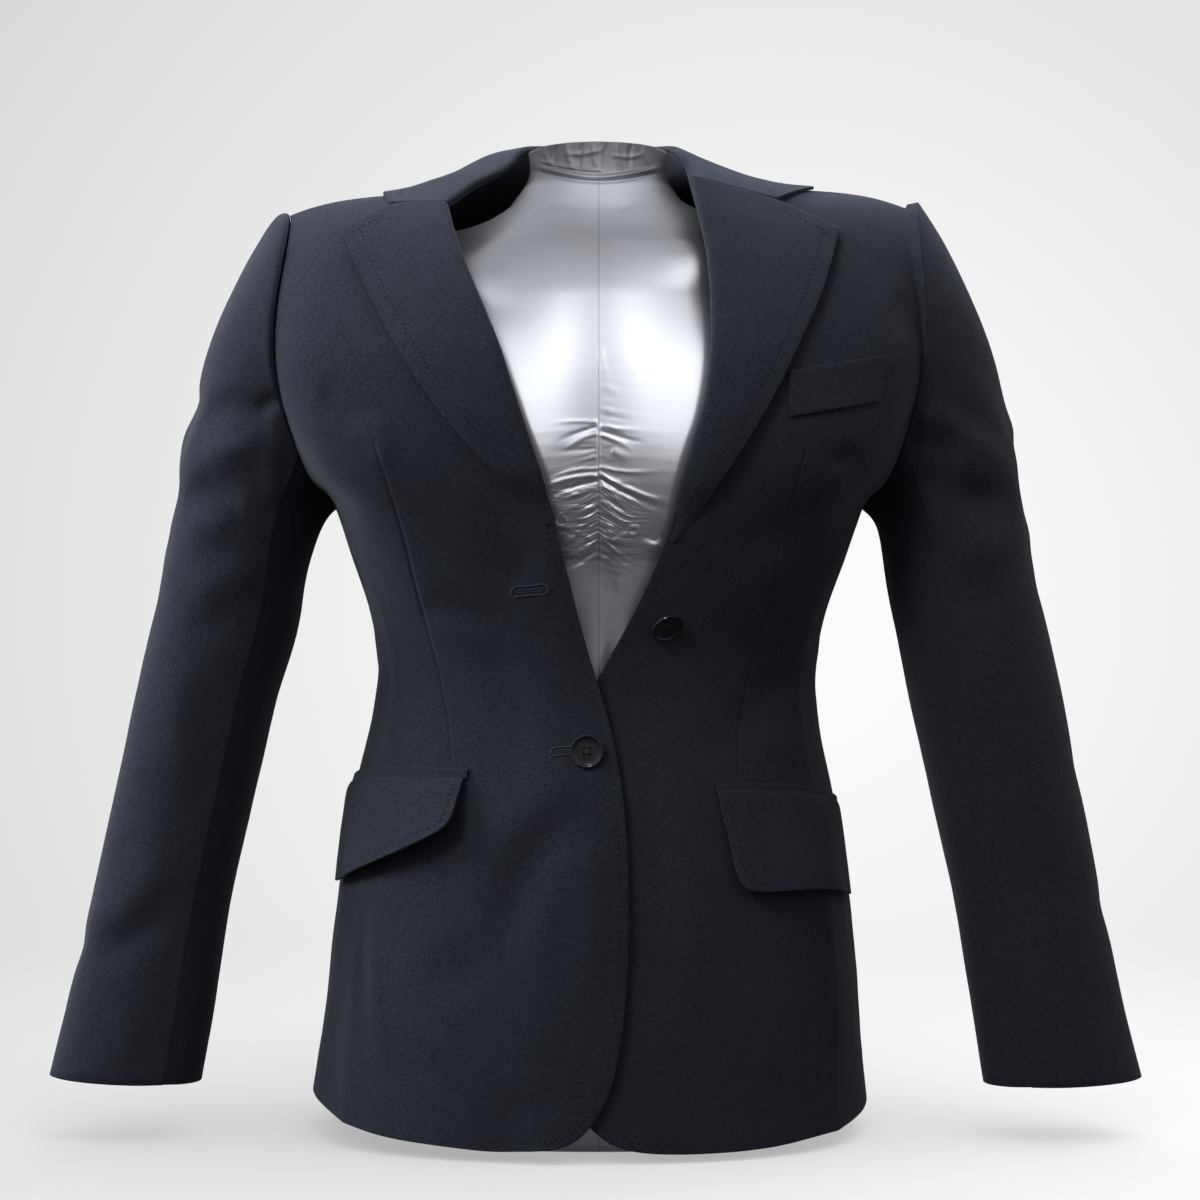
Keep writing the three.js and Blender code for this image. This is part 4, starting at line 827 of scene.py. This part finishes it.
def polished(settings):
    """Polished black button resin, with a faint swirl in it."""
    nodes = new_material("button_resin")
    swirl = nodes.noise(nodes.place(), 90.0, 5.0, 1.4)
    base = settings.colour
    nodes.set(Base_Color=nodes.mix(swirl, shade(base, 0.7), shade(base, 1.6)),
              Roughness=settings.roughness, Specular_IOR_Level=0.3, Coat_Weight=0.2,
              Coat_Roughness=0.08, Normal=nodes.bump(swirl, 0.05 * MM, 0.4))
    return nodes.owner


class BLAZER_cloth(bpy.types.PropertyGroup):
    colour: FloatVectorProperty(
        name="Colour", description="Colour of the wool", subtype="COLOR", size=3,
        default=(0.0118, 0.0134, 0.0188))
    # The stitches' thread, far darker than the wool: painted shade of the dimples that the stitches
    # pull in.
    thread_colour_with_painted_shade: FloatVectorProperty(
        name="Thread", description="Colour of the stitches", subtype="COLOR", size=3,
        default=(0.0018, 0.002, 0.003))
    silk_colour: FloatVectorProperty(
        name="Buttonhole silk", description="Colour of the worked buttonholes", subtype="COLOR",
        size=3, default=(0.024, 0.027, 0.037))
    weave_pitch: FloatProperty(
        name="Weave pitch", description="Distance between the twill's ribs, in millimetres",
        default=0.85, min=0.2, max=3)
    weave_depth: FloatProperty(
        name="Weave depth", description="How deep the weave looks, in millimetres",
        default=0.14, min=0, max=0.5)
    sheen: FloatProperty(
        name="Sheen", description="Strength of the nap's soft gleam", default=0.1, min=0, max=1,
        subtype="FACTOR")
    edge_round: FloatProperty(
        name="Edge rounding", description="Rounding of turned edges, in millimetres",
        default=0.45, min=0, max=1)


class BLAZER_stitching(bpy.types.PropertyGroup):
    spacing: FloatProperty(
        name="Spacing", description="Distance between hand stitches, in millimetres",
        default=3.9, min=1, max=10)
    length: FloatProperty(
        name="Length", description="Length of a stitch, in millimetres", default=1.9, min=0.5,
        max=6)
    thickness: FloatProperty(
        name="Thickness", description="Thickness of the thread, in millimetres", default=0.55,
        min=0.1, max=1.5)


class BLAZER_satin(bpy.types.PropertyGroup):
    colour: FloatVectorProperty(
        name="Colour", description="Colour of the form's skin", subtype="COLOR", size=3,
        default=(0.66, 0.67, 0.71))
    roughness: FloatProperty(
        name="Roughness", description="How soft the skin's gloss is", default=0.36, min=0, max=1,
        subtype="FACTOR")
    metallic: FloatProperty(
        name="Metallic", description="How metallic the skin looks", default=0.85, min=0, max=1,
        subtype="FACTOR")


class BLAZER_button(bpy.types.PropertyGroup):
    colour: FloatVectorProperty(
        name="Colour", description="Colour of the buttons", subtype="COLOR", size=3,
        default=(0.008, 0.008, 0.009))
    roughness: FloatProperty(
        name="Roughness", description="How soft the buttons' gloss is", default=0.16, min=0,
        max=1, subtype="FACTOR")
    facets: IntProperty(
        name="Facets", description="Points round a button", default=72, min=24, max=144)


class BLAZER_stage(bpy.types.PropertyGroup):
    ground: FloatVectorProperty(
        name="Ground", description="Colour of the floor", subtype="COLOR", size=3,
        default=(0.86, 0.853, 0.845))
    key: FloatProperty(
        name="Key light", description="Power of the key light, in watts", default=88,
        subtype="POWER", min=0)
    fill: FloatProperty(
        name="Fill light", description="Power of the fill light, in watts", default=3.5,
        subtype="POWER", min=0)
    canopy: FloatProperty(
        name="Canopy", description="Power of the wide light over the form, in watts", default=8.5,
        subtype="POWER", min=0)
    strips: FloatProperty(
        name="Strip lights", description="Power of each strip light, in watts", default=8,
        subtype="POWER", min=0)
    wash: FloatProperty(
        name="Floor light", description="Power of the light on the floor, in watts", default=38,
        subtype="POWER", min=0)
    glint: FloatProperty(
        name="Glint light", description="Power of the buttons' glint, in watts", default=14,
        subtype="POWER", min=0)
    ambient: FloatProperty(
        name="Ambient", description="Strength of the light from all round", default=0.7, min=0)
    distance: FloatProperty(
        name="Camera distance", description="From the camera to the middle of the part",
        default=1.6, unit="LENGTH", min=0.5)


class BLAZER_settings(bpy.types.PropertyGroup):
    cloth: PointerProperty(type=BLAZER_cloth)
    stitching: PointerProperty(type=BLAZER_stitching)
    satin: PointerProperty(type=BLAZER_satin)
    button: PointerProperty(type=BLAZER_button)
    stage: PointerProperty(type=BLAZER_stage)


def material_of(name, make, settings):
    """The material of that name, made if it isn't there yet."""
    return bpy.data.materials.get(name) or make(settings)


# ------------------------------------------------------------------ pieces

SHELLS = {}  # each finished piece of cloth as a surface, by node


def kind_of(node):
    """The kind of piece that a node is: its name without its side."""
    return node if node in FINE else node.rsplit("_", 1)[0]


def place_piece(piece, slot):
    """Fixes a piece to the part's one body and names what it is made of."""
    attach(piece, BODY)
    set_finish(piece, slot)
    return piece


# The mean radius of the body and of a sleeve, which turns angles round them into lengths of grain.
BODY_GIRTH = 150
SLEEVE_GIRTH = 50


def cloth_piece(node, outward, folds, settings, tilt=0.0, girth=BODY_GIRTH, sink=0.0):
    """One cut piece of cloth: a thin wall on its node's form, with its folds and grain."""
    kind = kind_of(node)
    piece = rounded_copy(node, FINE[kind], LET_OUT.get(kind, LET_OUT_ELSEWHERE))
    line = DARTS.get(node.removeprefix("front_")) if node.startswith("front_") else None
    if line:
        refine(piece, lambda points: distance_to_line(points[:, 0], points[:, 2], line)
               < DART["reach"], 2)
    points = points_of(piece.data)
    out = outward(points)
    height = fold_height(points, out, folds) + unevenness(points) - sink
    if line:
        away = distance_to_line(points[:, 0], points[:, 2], line)
        height += DART["lift"] * np.exp(-(away / DART["half"]) ** 2)
    if kind == "lapel":
        side = node.removeprefix("lapel_")
        top, bottom = LAPEL_END[side]
        sunk = 1 - smooth_step(bottom, top, points[:, 2])
        height -= LAPEL_SINK * sunk
        points[:, 0] += SIDES[side] * LAPEL_DRAWN_BACK * sunk
    points = raise_underarm(points) if kind in AT_UNDERARM else points
    set_points(piece.data, points + out * height[:, None])
    lay_grain(piece, grain_round(outward, girth, tilt))
    SHELLS[node] = Surface(piece)
    soften_rims(piece, settings.cloth.edge_round * MM)
    piece.data.materials.clear()
    piece.data.materials.append(material_of("wool", wool, settings.cloth))
    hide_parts(node)
    place_piece(piece, "cloth")
    return piece


class BLAZER_OT_body(bpy.types.Operator):
    """Builds the fronts, side panels and back"""
    bl_idname = "blazer.body"
    bl_label = "Fronts, sides and back"

    def execute(self, context):
        for part in ("front", "side", "back"):
            for side in SIDES:
                cloth_piece(f"{part}_{side}", out_of_body, BODY_FOLDS, context.scene.blazer)
        return {"FINISHED"}


# How far the grain of a lapel and of the collar leans, in radians.
LAPEL_GRAIN = 0.42
COLLAR_GRAIN = 0.78


class BLAZER_OT_collar(bpy.types.Operator):
    """Builds the lapels and the collar"""
    bl_idname = "blazer.collar"
    bl_label = "Lapels and collar"

    def execute(self, context):
        settings = context.scene.blazer
        for side, sign in SIDES.items():
            cloth_piece(f"lapel_{side}", out_of_body, BODY_FOLDS, settings,
                        tilt=sign * LAPEL_GRAIN)
        for node in ("collar_fall", "collar_stand"):
            cloth_piece(node, out_of_body, [], settings, tilt=COLLAR_GRAIN)
        return {"FINISHED"}


class BLAZER_OT_sleeves(bpy.types.Operator):
    """Builds the two-piece sleeves"""
    bl_idname = "blazer.sleeves"
    bl_label = "Sleeves"

    def execute(self, context):
        for side, folds in SLEEVE_FOLDS.items():
            for part in ("top", "under"):
                cloth_piece(f"sleeve_{part}_{side}", out_of_sleeve(side), folds,
                            context.scene.blazer, girth=SLEEVE_GIRTH)
        return {"FINISHED"}


# The small pieces of the pockets, and how far each is pressed into the cloth it lies on.
POCKET_PIECES = {"jet_right": 0.2, "jet_left": 0.5, "breast_welt": 0.85, "flap_right": 0,
                 "flap_left": 0.9}


class BLAZER_OT_pockets(bpy.types.Operator):
    """Builds the pocket jets, the flaps and the breast welt"""
    bl_idname = "blazer.pockets"
    bl_label = "Pockets"

    def execute(self, context):
        for node, sink in POCKET_PIECES.items():
            cloth_piece(node, out_of_body, BODY_FOLDS, context.scene.blazer, sink=sink)
        return {"FINISHED"}


class BLAZER_OT_stitching(bpy.types.Operator):
    """Lays the hand stitches along the edges"""
    bl_idname = "blazer.stitching"
    bl_label = "Hand stitches"

    def execute(self, context):
        settings = context.scene.blazer
        material = material_of("thread", thread, settings.cloth)
        shapes = {}
        for run in STITCH_RUNS:
            surface = SHELLS[run["node"]]
            edge = edge_run(surface, out_of_body, (run["x1"], run["z1"]), (run["x2"], run["z2"]))
            if len(edge) < 3:
                raise RuntimeError(f"no edge found for the stitches on {run['node']}")
            places, ways = resample(edge, settings.stitching.spacing)
            middle = Vector(surface.points.mean(0))
            shape = shapes.setdefault(run["node"], bmesh.new())
            for place, way in zip(places, ways):
                out = Vector(out_of_body(np.array([place]))[0])
                inward = Vector(way).cross(out).normalized()
                if inward.dot(middle - Vector(place)) < 0:
                    inward = -inward
                over = Vector(place) + inward * run["inset"] + out * 6
                hit, normal = surface.met(over, -out)
                if hit is not None:
                    add_thread(shape, hit, way, normal, settings.stitching.length,
                               settings.stitching.thickness)
        for node, shape in shapes.items():
            place_piece(piece_from(shape, f"{node}_stitches", material), "cloth")
        return {"FINISHED"}


# A button's half profile from the middle of its face to the middle of its back, as shares of
# its radius and of its thickness.
BUTTON_PROFILE = [(0, 0.6), (0.5, 0.57), (0.74, 0.56), (0.8, 0.62), (0.86, 0.86), (0.9, 0.97),
                  (0.94, 1.0), (0.98, 0.94), (1.0, 0.72), (0.98, 0.4), (0.88, 0.1), (0.6, 0),
                  (0, 0)]
# The holes of a button: how many, how far from its middle, and how big.
HOLES = {"count": 4, "out": 2.4, "radius": 0.95, "sides": 20}
# The thread that crosses them: its length, its thickness, how far apart its two strands lie, and
# the share of the button's thickness that it lies at.
CROSS = {"length": 5.2, "thick": 0.5, "apart": 0.5, "level": 0.66}
# Each button: its size, the way its face looks, and how far its thread lets it stand forward.
BUTTONS = table(
    "node radius thick face forward",
    ("button_lower", 10.1, 3.4, (0.02, -1.0, 0.03), 0.0),
    ("button_upper", 10.1, 3.4, (0.3, -0.66, -0.6), 2.6),
)
# Each buttonhole: its middle, its size, and how many degrees it leans.
BUTTONHOLES = table(
    "name x z length width lean",
    ("buttonhole_lower", -18.5, 248.6, 21, 6.0, 6), ("buttonhole_upper", -41, 345.8, 23, 7.6, 5),
)
# The close stitches round a buttonhole, and those over the two cords in its slot: how thick and
# how long each is, and how it slants from the line it follows.
BUTTONHOLE_STITCHES = {"outline": (0.95, 1.5, 1.1), "cord": (0.6, 1.2, 0.5), "lip": (0.55, 1.2, 0.5)}
BUTTONHOLE_PITCH = 0.8  # from one of these stitches to the next


def turned(profile, radius, thick, facets):
    """A body turned from a half profile about +Z, its ends closed on the axis."""
    shape = bmesh.new()
    rings = []
    for r, z in profile:
        if r == 0:
            rings.append([shape.verts.new((0, 0, z * thick * MM))])
            continue
        rings.append([shape.verts.new((r * radius * math.cos(t) * MM, r * radius * math.sin(t) * MM,
                                       z * thick * MM))
                      for t in (k * math.tau / facets for k in range(facets))])
    for low, high in zip(rings, rings[1:]):
        for k in range(facets):
            corners = [low[k % len(low)], low[(k + 1) % len(low)],
                       high[(k + 1) % len(high)], high[k % len(high)]]
            shape.faces.new(list(dict.fromkeys(corners)))
    return shape


class BLAZER_OT_buttons(bpy.types.Operator):
    """Builds the two front buttons with their thread, and the worked buttonholes"""
    bl_idname = "blazer.buttons"
    bl_label = "Buttons and buttonholes"

    def execute(self, context):
        settings = context.scene.blazer
        resin = material_of("button_resin", polished, settings.button)
        silk = material_of("buttonhole_silk", twist, settings.cloth)
        for row in BUTTONS:
            low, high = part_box(row["node"])
            middle = (low + high) / 2 + Vector((0, -row["forward"], 0)) * MM
            face = Vector(row["face"]).normalized().to_track_quat("Z", "X")
            place = Matrix.Translation(middle) @ face.to_matrix().to_4x4()
            place = place @ Matrix.Translation((0, 0, -row["thick"] * MM / 2))
            shape = turned(BUTTON_PROFILE, row["radius"], row["thick"], settings.button.facets)
            button = piece_from(shape, row["node"] + "_turned", resin)
            self.drill(button, resin)
            button.data.transform(place)
            button.data.shade_smooth()
            button.data.set_sharp_from_angle(angle=math.radians(40))
            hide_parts(row["node"])
            place_piece(button, "button")
            sewn = self.crossed_thread(row, silk)
            sewn.data.transform(place)
            place_piece(sewn, "cloth")
        for row in BUTTONHOLES:
            place_piece(self.buttonhole(row, SHELLS["front_right"], silk), "cloth")
        return {"FINISHED"}

    def drill(self, button, resin):
        """Drills a button's holes, evenly round its middle."""
        holes = bmesh.new()
        radius = HOLES["radius"] * MM
        for k in range(HOLES["count"]):
            turn = math.tau * (k + 0.5) / HOLES["count"]
            at = Vector((math.cos(turn), math.sin(turn), 0)) * HOLES["out"] * MM
            bmesh.ops.create_cone(holes, cap_ends=True, segments=HOLES["sides"], radius1=radius,
                                  radius2=radius, depth=20 * MM, matrix=Matrix.Translation(at))
        drill = piece_from(holes, "drill", resin)
        cut = button.modifiers.new("holes", "BOOLEAN")
        cut.object = drill
        cut.solver = "EXACT"
        settle(button)
        bpy.data.objects.remove(drill)

    def crossed_thread(self, row, silk):
        """The thread that shows on a button: two strands each way, from hole to hole."""
        shape = bmesh.new()
        level = Vector((0, 0, CROSS["level"] * row["thick"]))
        for way in (1, -1):
            along = Vector((1, way, 0)).normalized()
            across = Vector((-along.y, along.x, 0))
            for shift in (-CROSS["apart"] / 2, CROSS["apart"] / 2):
                add_thread(shape, across * shift + level, along, (0, 0, 1), CROSS["length"],
                           CROSS["thick"])
        return piece_from(shape, row["node"] + "_thread", silk)

    def buttonhole(self, row, surface, silk):
        """A slot worked round with close stitches, its far end a little wider, over two cords."""
        shape = bmesh.new()
        chance = random.Random(row["name"])
        lean = math.radians(row["lean"])
        half, wide = row["length"] / 2, row["width"] / 2
        outline = [(-half, -wide * 0.8), (-half, wide * 0.8), (half * 0.5, wide * 0.72),
                   (half * 0.8, wide), (half, wide * 0.7), (half, -wide * 0.7),
                   (half * 0.8, -wide), (half * 0.5, -wide * 0.72), (-half, -wide * 0.8)]
        cord = [(-half + 2, wide * 0.12), (half - 2.5, wide * 0.2)]
        lip = [(-half + 2, -wide * 0.24), (half - 2.5, -wide * 0.16)]
        for name, line in {"outline": outline, "cord": cord, "lip": lip}.items():
            thick, length, slant = BUTTONHOLE_STITCHES[name]
            flat = np.array([(a, b, 0) for a, b in line], float)
            places, ways = resample(flat, BUTTONHOLE_PITCH)
            for (a, b, _), (da, db, _) in zip(places, ways):
                x = row["x"] + a * math.cos(lean) - b * math.sin(lean)
                z = row["z"] + a * math.sin(lean) + b * math.cos(lean)
                hit, normal = surface.met((x, WELL_CLEAR, z), (0, 1, 0))
                if hit is None:
                    continue
                turn = lean + math.atan2(db, da) + slant + chance.uniform(-0.25, 0.25)
                way = Vector((math.cos(turn), 0, math.sin(turn)))
                add_thread(shape, hit + normal * 0.15, way, normal,
                           length * chance.uniform(0.85, 1.3), thick)
        return piece_from(shape, row["name"], silk)


class BLAZER_OT_form(bpy.types.Operator):
    """Builds the satin skin of the torso form, with its seams and gathers"""
    bl_idname = "blazer.form"
    bl_label = "Torso form"

    def execute(self, context):
        piece = rounded_copy("torso_form", 2)
        whole_front, *gathered_parts = FINE_SKIN
        refine(piece, in_zone(whole_front))
        even_out(piece, in_zone(YOKE), YOKE_PASSES)
        for zone in gathered_parts:
            refine(piece, in_zone(zone))
        points = points_of(piece.data)
        out = out_of_body(points)
        height = fold_height(points, out, FORM_SHAPE)
        height += crease_height(points, FORM_CREASES + self.shirring())
        height += (points[:, 1] < 0) * (self.waist_seam(points) + self.stud_rims(points))
        set_points(piece.data, points + out * height[:, None])
        piece.data.shade_smooth()
        piece.data.materials.clear()
        piece.data.materials.append(satin(context.scene.blazer.satin))
        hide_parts("torso_form")
        place_piece(piece, "satin")
        return {"FINISHED"}

    def waist_seam(self, points):
        """How far the lower edges of the waist seam stand out of the skin."""
        height = np.zeros(len(points))
        for seam in WAIST_SEAM:
            share = np.clip((points[:, 0] - seam["x1"]) / (seam["x2"] - seam["x1"]), 0, 1)
            under = seam["z1"] + (seam["z2"] - seam["z1"]) * share - points[:, 2]
            edge = smooth_step(0, 0.15, share) * smooth_step(-0.5, 0.5, under)
            height += edge * np.exp(-(under / WAIST_EDGE["fade"]) ** 2) * WAIST_EDGE["lift"]
        return height

    def stud_rims(self, points):
        """How far the studs' rims press the skin out."""
        height = np.zeros(len(points))
        for stud in STUDS:
            away = np.hypot(points[:, 0] - stud["x"], points[:, 2] - stud["z"]) - stud["radius"]
            height += STUD_RIM["lift"] * np.exp(-(away / STUD_RIM["half"]) ** 2)
        return height

    def shirring(self):
        """The small wrinkles along the centre seam, each a little different."""
        chance = random.Random(11)
        heights = column(SHIRRING, "z")[::-1]
        folds = []
        for side, sign in SIDES.items():
            z = heights[-1]
            while z > heights[0]:
                reach, lift, pitch = (np.interp(z, heights, column(SHIRRING, name)[::-1])
                                      for name in (side, "lift", "pitch"))
                far = reach * chance.uniform(0.45, 1.05)
                start = chance.uniform(1, 4) if chance.random() < 0.75 else far * 0.4
                drop = far * math.tan(chance.gauss(0.2, 0.24))
                half = chance.uniform(0.65, 1.15)
                for shift, share in ((0, 1), (-pitch * 0.42, -0.9)):
                    folds.append(("front", sign * start, z + shift, sign * (start + far),
                                  z + shift - drop, chance.uniform(-0.08, 0.14) * far, half,
                                  share * lift * chance.uniform(0.5, 1.25)))
                z -= pitch * chance.uniform(0.65, 1.3)
        return table(FOLD, *folds)


# The lamps: where each stands, how wide and tall it is, its share of the setting's power, and
# what it lights: the cloth, the form's skin, the buttons, or the floor. The one named even
# throws no shadow.
LIGHTS = table(
    "name x y z width tall power share lights",
    ("key", -1.85, -0.1, 1.25, 0.8, 0.8, "key", 0.85, "cloth"),
    ("front", -1.4, -1.4, 1.8, 0.9, 0.7, "key", 0.56, "cloth"),
    ("top", -0.35, 0.35, 2.1, 1.2, 0.8, "key", 0.6, "cloth"),
    ("fill", 1.7, -1.1, 1.3, 0.8, 0.9, "fill", 0.6, "cloth"),
    ("rim", 2.0, 0.4, 0.8, 0.6, 1.4, "fill", 4.0, "cloth"),
    ("strip_right", -0.88, -1.8, 1.4, 0.26, 2.5, "strips", 1.0, "skin"),
    ("strip_left", 0.88, -1.8, 1.4, 0.26, 2.5, "strips", 1.0, "skin"),
    ("canopy", 0.5, -1.3, 2.2, 3.4, 1.2, "canopy", 1.0, "skin"),
    ("glint", -0.35, -1.0, 2.0, 0.5, 0.2, "glint", 1.0, "buttons"),
    ("wash", 0.8, -0.1, 2.2, 2.0, 2.0, "wash", 0.22, "floor"),
    ("even", 0.8, -0.3, 2.2, 2.0, 2.0, "wash", 0.95, "floor"),
)
# The light from all round, by how far up it comes from: -1 is straight down.
SURROUND = table(
    "up share", (-1, 0.06), (-0.25, 0.16), (0.05, 0.5), (0.45, 1.1), (0.75, 0.9), (1, 0.4))
GLOSSY = ("skin", "buttons")  # what shows the lamps as gloss, and isn't lit by them otherwise
# The camera, which stands level with the middle of what it sees.
CAMERA = {"lens": 73.85, "film": 36, "middle": (0.0013, 0, 0.34)}
# The backdrop that shows: the way its brightest place lies, how far from there it starts and
# ends fading, and how bright it is there.
BACKDROP = {"way": (0.07, 0.99, 0.0), "far": (0.06, 0.5), "bright": (0.96, 0.6)}
TINT = (0.94, 0.96, 1)  # of the light from all round
# The floor's radius, and how far from its middle it starts and ends fading, in metres.
FLOOR = {"radius": 2.4, "fade": (0.25, 1.25)}


class BLAZER_OT_stage(bpy.types.Operator):
    """Sets the floor, the backdrop, the lamps and the camera"""
    bl_idname = "blazer.stage"
    bl_label = "Stage"

    def execute(self, context):
        settings = context.scene.blazer.stage
        middle = Vector(CAMERA["middle"])
        camera = bpy.data.cameras.new("camera")
        camera.lens = CAMERA["lens"]
        camera.sensor_width = CAMERA["film"]
        eye = link(bpy.data.objects.new("camera", camera))
        eye.location = middle - Vector((0, settings.distance, 0))
        eye.rotation_euler = (math.pi / 2, 0, 0)
        context.scene.camera = eye
        lit_groups = {name: bpy.data.collections.new("lit_" + name)
                      for name in ("cloth", "skin", "buttons", "floor")}
        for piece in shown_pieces():
            lit_groups["skin" if piece.get("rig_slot") == "satin" else "cloth"].objects.link(piece)
            if piece.get("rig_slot") == "button":
                lit_groups["buttons"].objects.link(piece)
        lit_groups["floor"].objects.link(self.floor(settings))
        for row in LIGHTS:
            lamp = bpy.data.lights.new(row["name"], "AREA")
            lamp.shape = "RECTANGLE"
            lamp.size = row["width"]
            lamp.size_y = row["tall"]
            lamp.energy = getattr(settings, row["power"]) * row["share"]
            lit = link(bpy.data.objects.new(row["name"], lamp))
            lit.location = (row["x"], row["y"], row["z"])
            lit.rotation_euler = (middle - lit.location).to_track_quat("-Z", "Y").to_euler()
            lit.visible_camera = False
            lit.visible_glossy = row["lights"] in GLOSSY
            lit.visible_diffuse = row["lights"] not in GLOSSY
            lamp.use_shadow = row["name"] != "even"
            lit.light_linking.receiver_collection = lit_groups[row["lights"]]
        self.backdrop(context, settings)
        context.scene.view_settings.view_transform = "Standard"
        return {"FINISHED"}

    def floor(self, settings):
        """A pale floor that fades into the backdrop."""
        shape = bmesh.new()
        bmesh.ops.create_circle(shape, cap_ends=True, segments=96, radius=FLOOR["radius"])
        nodes = new_material("floor")
        place = nodes.place()
        far = nodes.add("ShaderNodeVectorMath", {0: place}, operation="LENGTH").outputs["Value"]
        shown = nodes.fade(far, *FLOOR["fade"], 1.0, 0.0, interpolation_type="SMOOTHERSTEP")
        base = settings.ground
        nodes.set(Base_Color=nodes.mix(nodes.noise(place, 3.0), shade(base, 0.985), shade(base, 1)),
                  Roughness=1.0, Specular_IOR_Level=0.0, Alpha=shown)
        floor = piece_from(shape, "floor", nodes.owner)
        floor.visible_diffuse = floor.visible_glossy = False
        floor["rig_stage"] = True
        return floor

    def backdrop(self, context, settings):
        """A pale backdrop, brighter than the light that it throws."""
        nodes = Nodes(bpy.data.worlds.new("backdrop"), "Background")
        context.scene.world = nodes.owner
        place = nodes.add("ShaderNodeTexCoord").outputs["Generated"]
        up = nodes.add("ShaderNodeSeparateXYZ", {0: place}).outputs[2]
        ramp = nodes.add("ShaderNodeValToRGB", {0: nodes.fade(up, -1.0, 1.0)})
        steps = ramp.color_ramp.elements
        while len(steps) < len(SURROUND):
            steps.new(0.5)
        for step, row in zip(steps, SURROUND):
            step.position = (row["up"] + 1) / 2
            step.color = [row["share"] * part for part in TINT] + [1]
        nodes.set(Color=ramp.outputs[0], Strength=settings.ambient)
        # The backdrop that shows is brightest ahead, a little to one side, and fades from there.
        away = nodes.add("ShaderNodeVectorMath", {0: place, 1: BACKDROP["way"]},
                         operation="DISTANCE").outputs["Value"]
        shown = nodes.add("ShaderNodeBackground",
                          {"Color": nodes.fade(away, *BACKDROP["far"], *BACKDROP["bright"])})
        seen = nodes.add("ShaderNodeLightPath").outputs["Is Camera Ray"]
        mix = nodes.add("ShaderNodeMixShader",
                        {0: seen, 1: nodes.shader.outputs[0], 2: shown.outputs[0]})
        nodes.feed(nodes.tree.nodes["World Output"].inputs[0], mix.outputs[0])


class BLAZER_PT_panel(bpy.types.Panel):
    """The blazer's pieces and settings"""
    bl_idname = "BLAZER_PT_panel"
    bl_label = "Blazer"
    bl_space_type = "VIEW_3D"
    bl_region_type = "UI"
    bl_category = "Blazer"

    def draw(self, context):
        layout = self.layout
        settings = context.scene.blazer
        for group in ("cloth", "stitching", "satin", "button", "stage"):
            box = layout.box()
            box.label(text=group.capitalize())
            for name in getattr(settings, group).__annotations__:
                box.prop(getattr(settings, group), name)
        for operator in OPERATORS:
            layout.operator(operator.bl_idname)


OPERATORS = (BLAZER_OT_body, BLAZER_OT_collar, BLAZER_OT_sleeves, BLAZER_OT_pockets,
             BLAZER_OT_stitching, BLAZER_OT_buttons, BLAZER_OT_form, BLAZER_OT_stage)
GROUPS = (BLAZER_cloth, BLAZER_stitching, BLAZER_satin, BLAZER_button, BLAZER_stage,
          BLAZER_settings)
CLASSES = GROUPS + OPERATORS + (BLAZER_PT_panel,)


def register():
    for item in CLASSES:
        bpy.utils.register_class(item)
    bpy.types.Scene.blazer = PointerProperty(type=BLAZER_settings)


def unregister():
    del bpy.types.Scene.blazer
    for item in reversed(CLASSES):
        bpy.utils.unregister_class(item)


def main():
    register()
    for operator in OPERATORS:
        getattr(bpy.ops.blazer, operator.bl_idname.split(".")[1])()


if __name__ == "__main__":
    main()
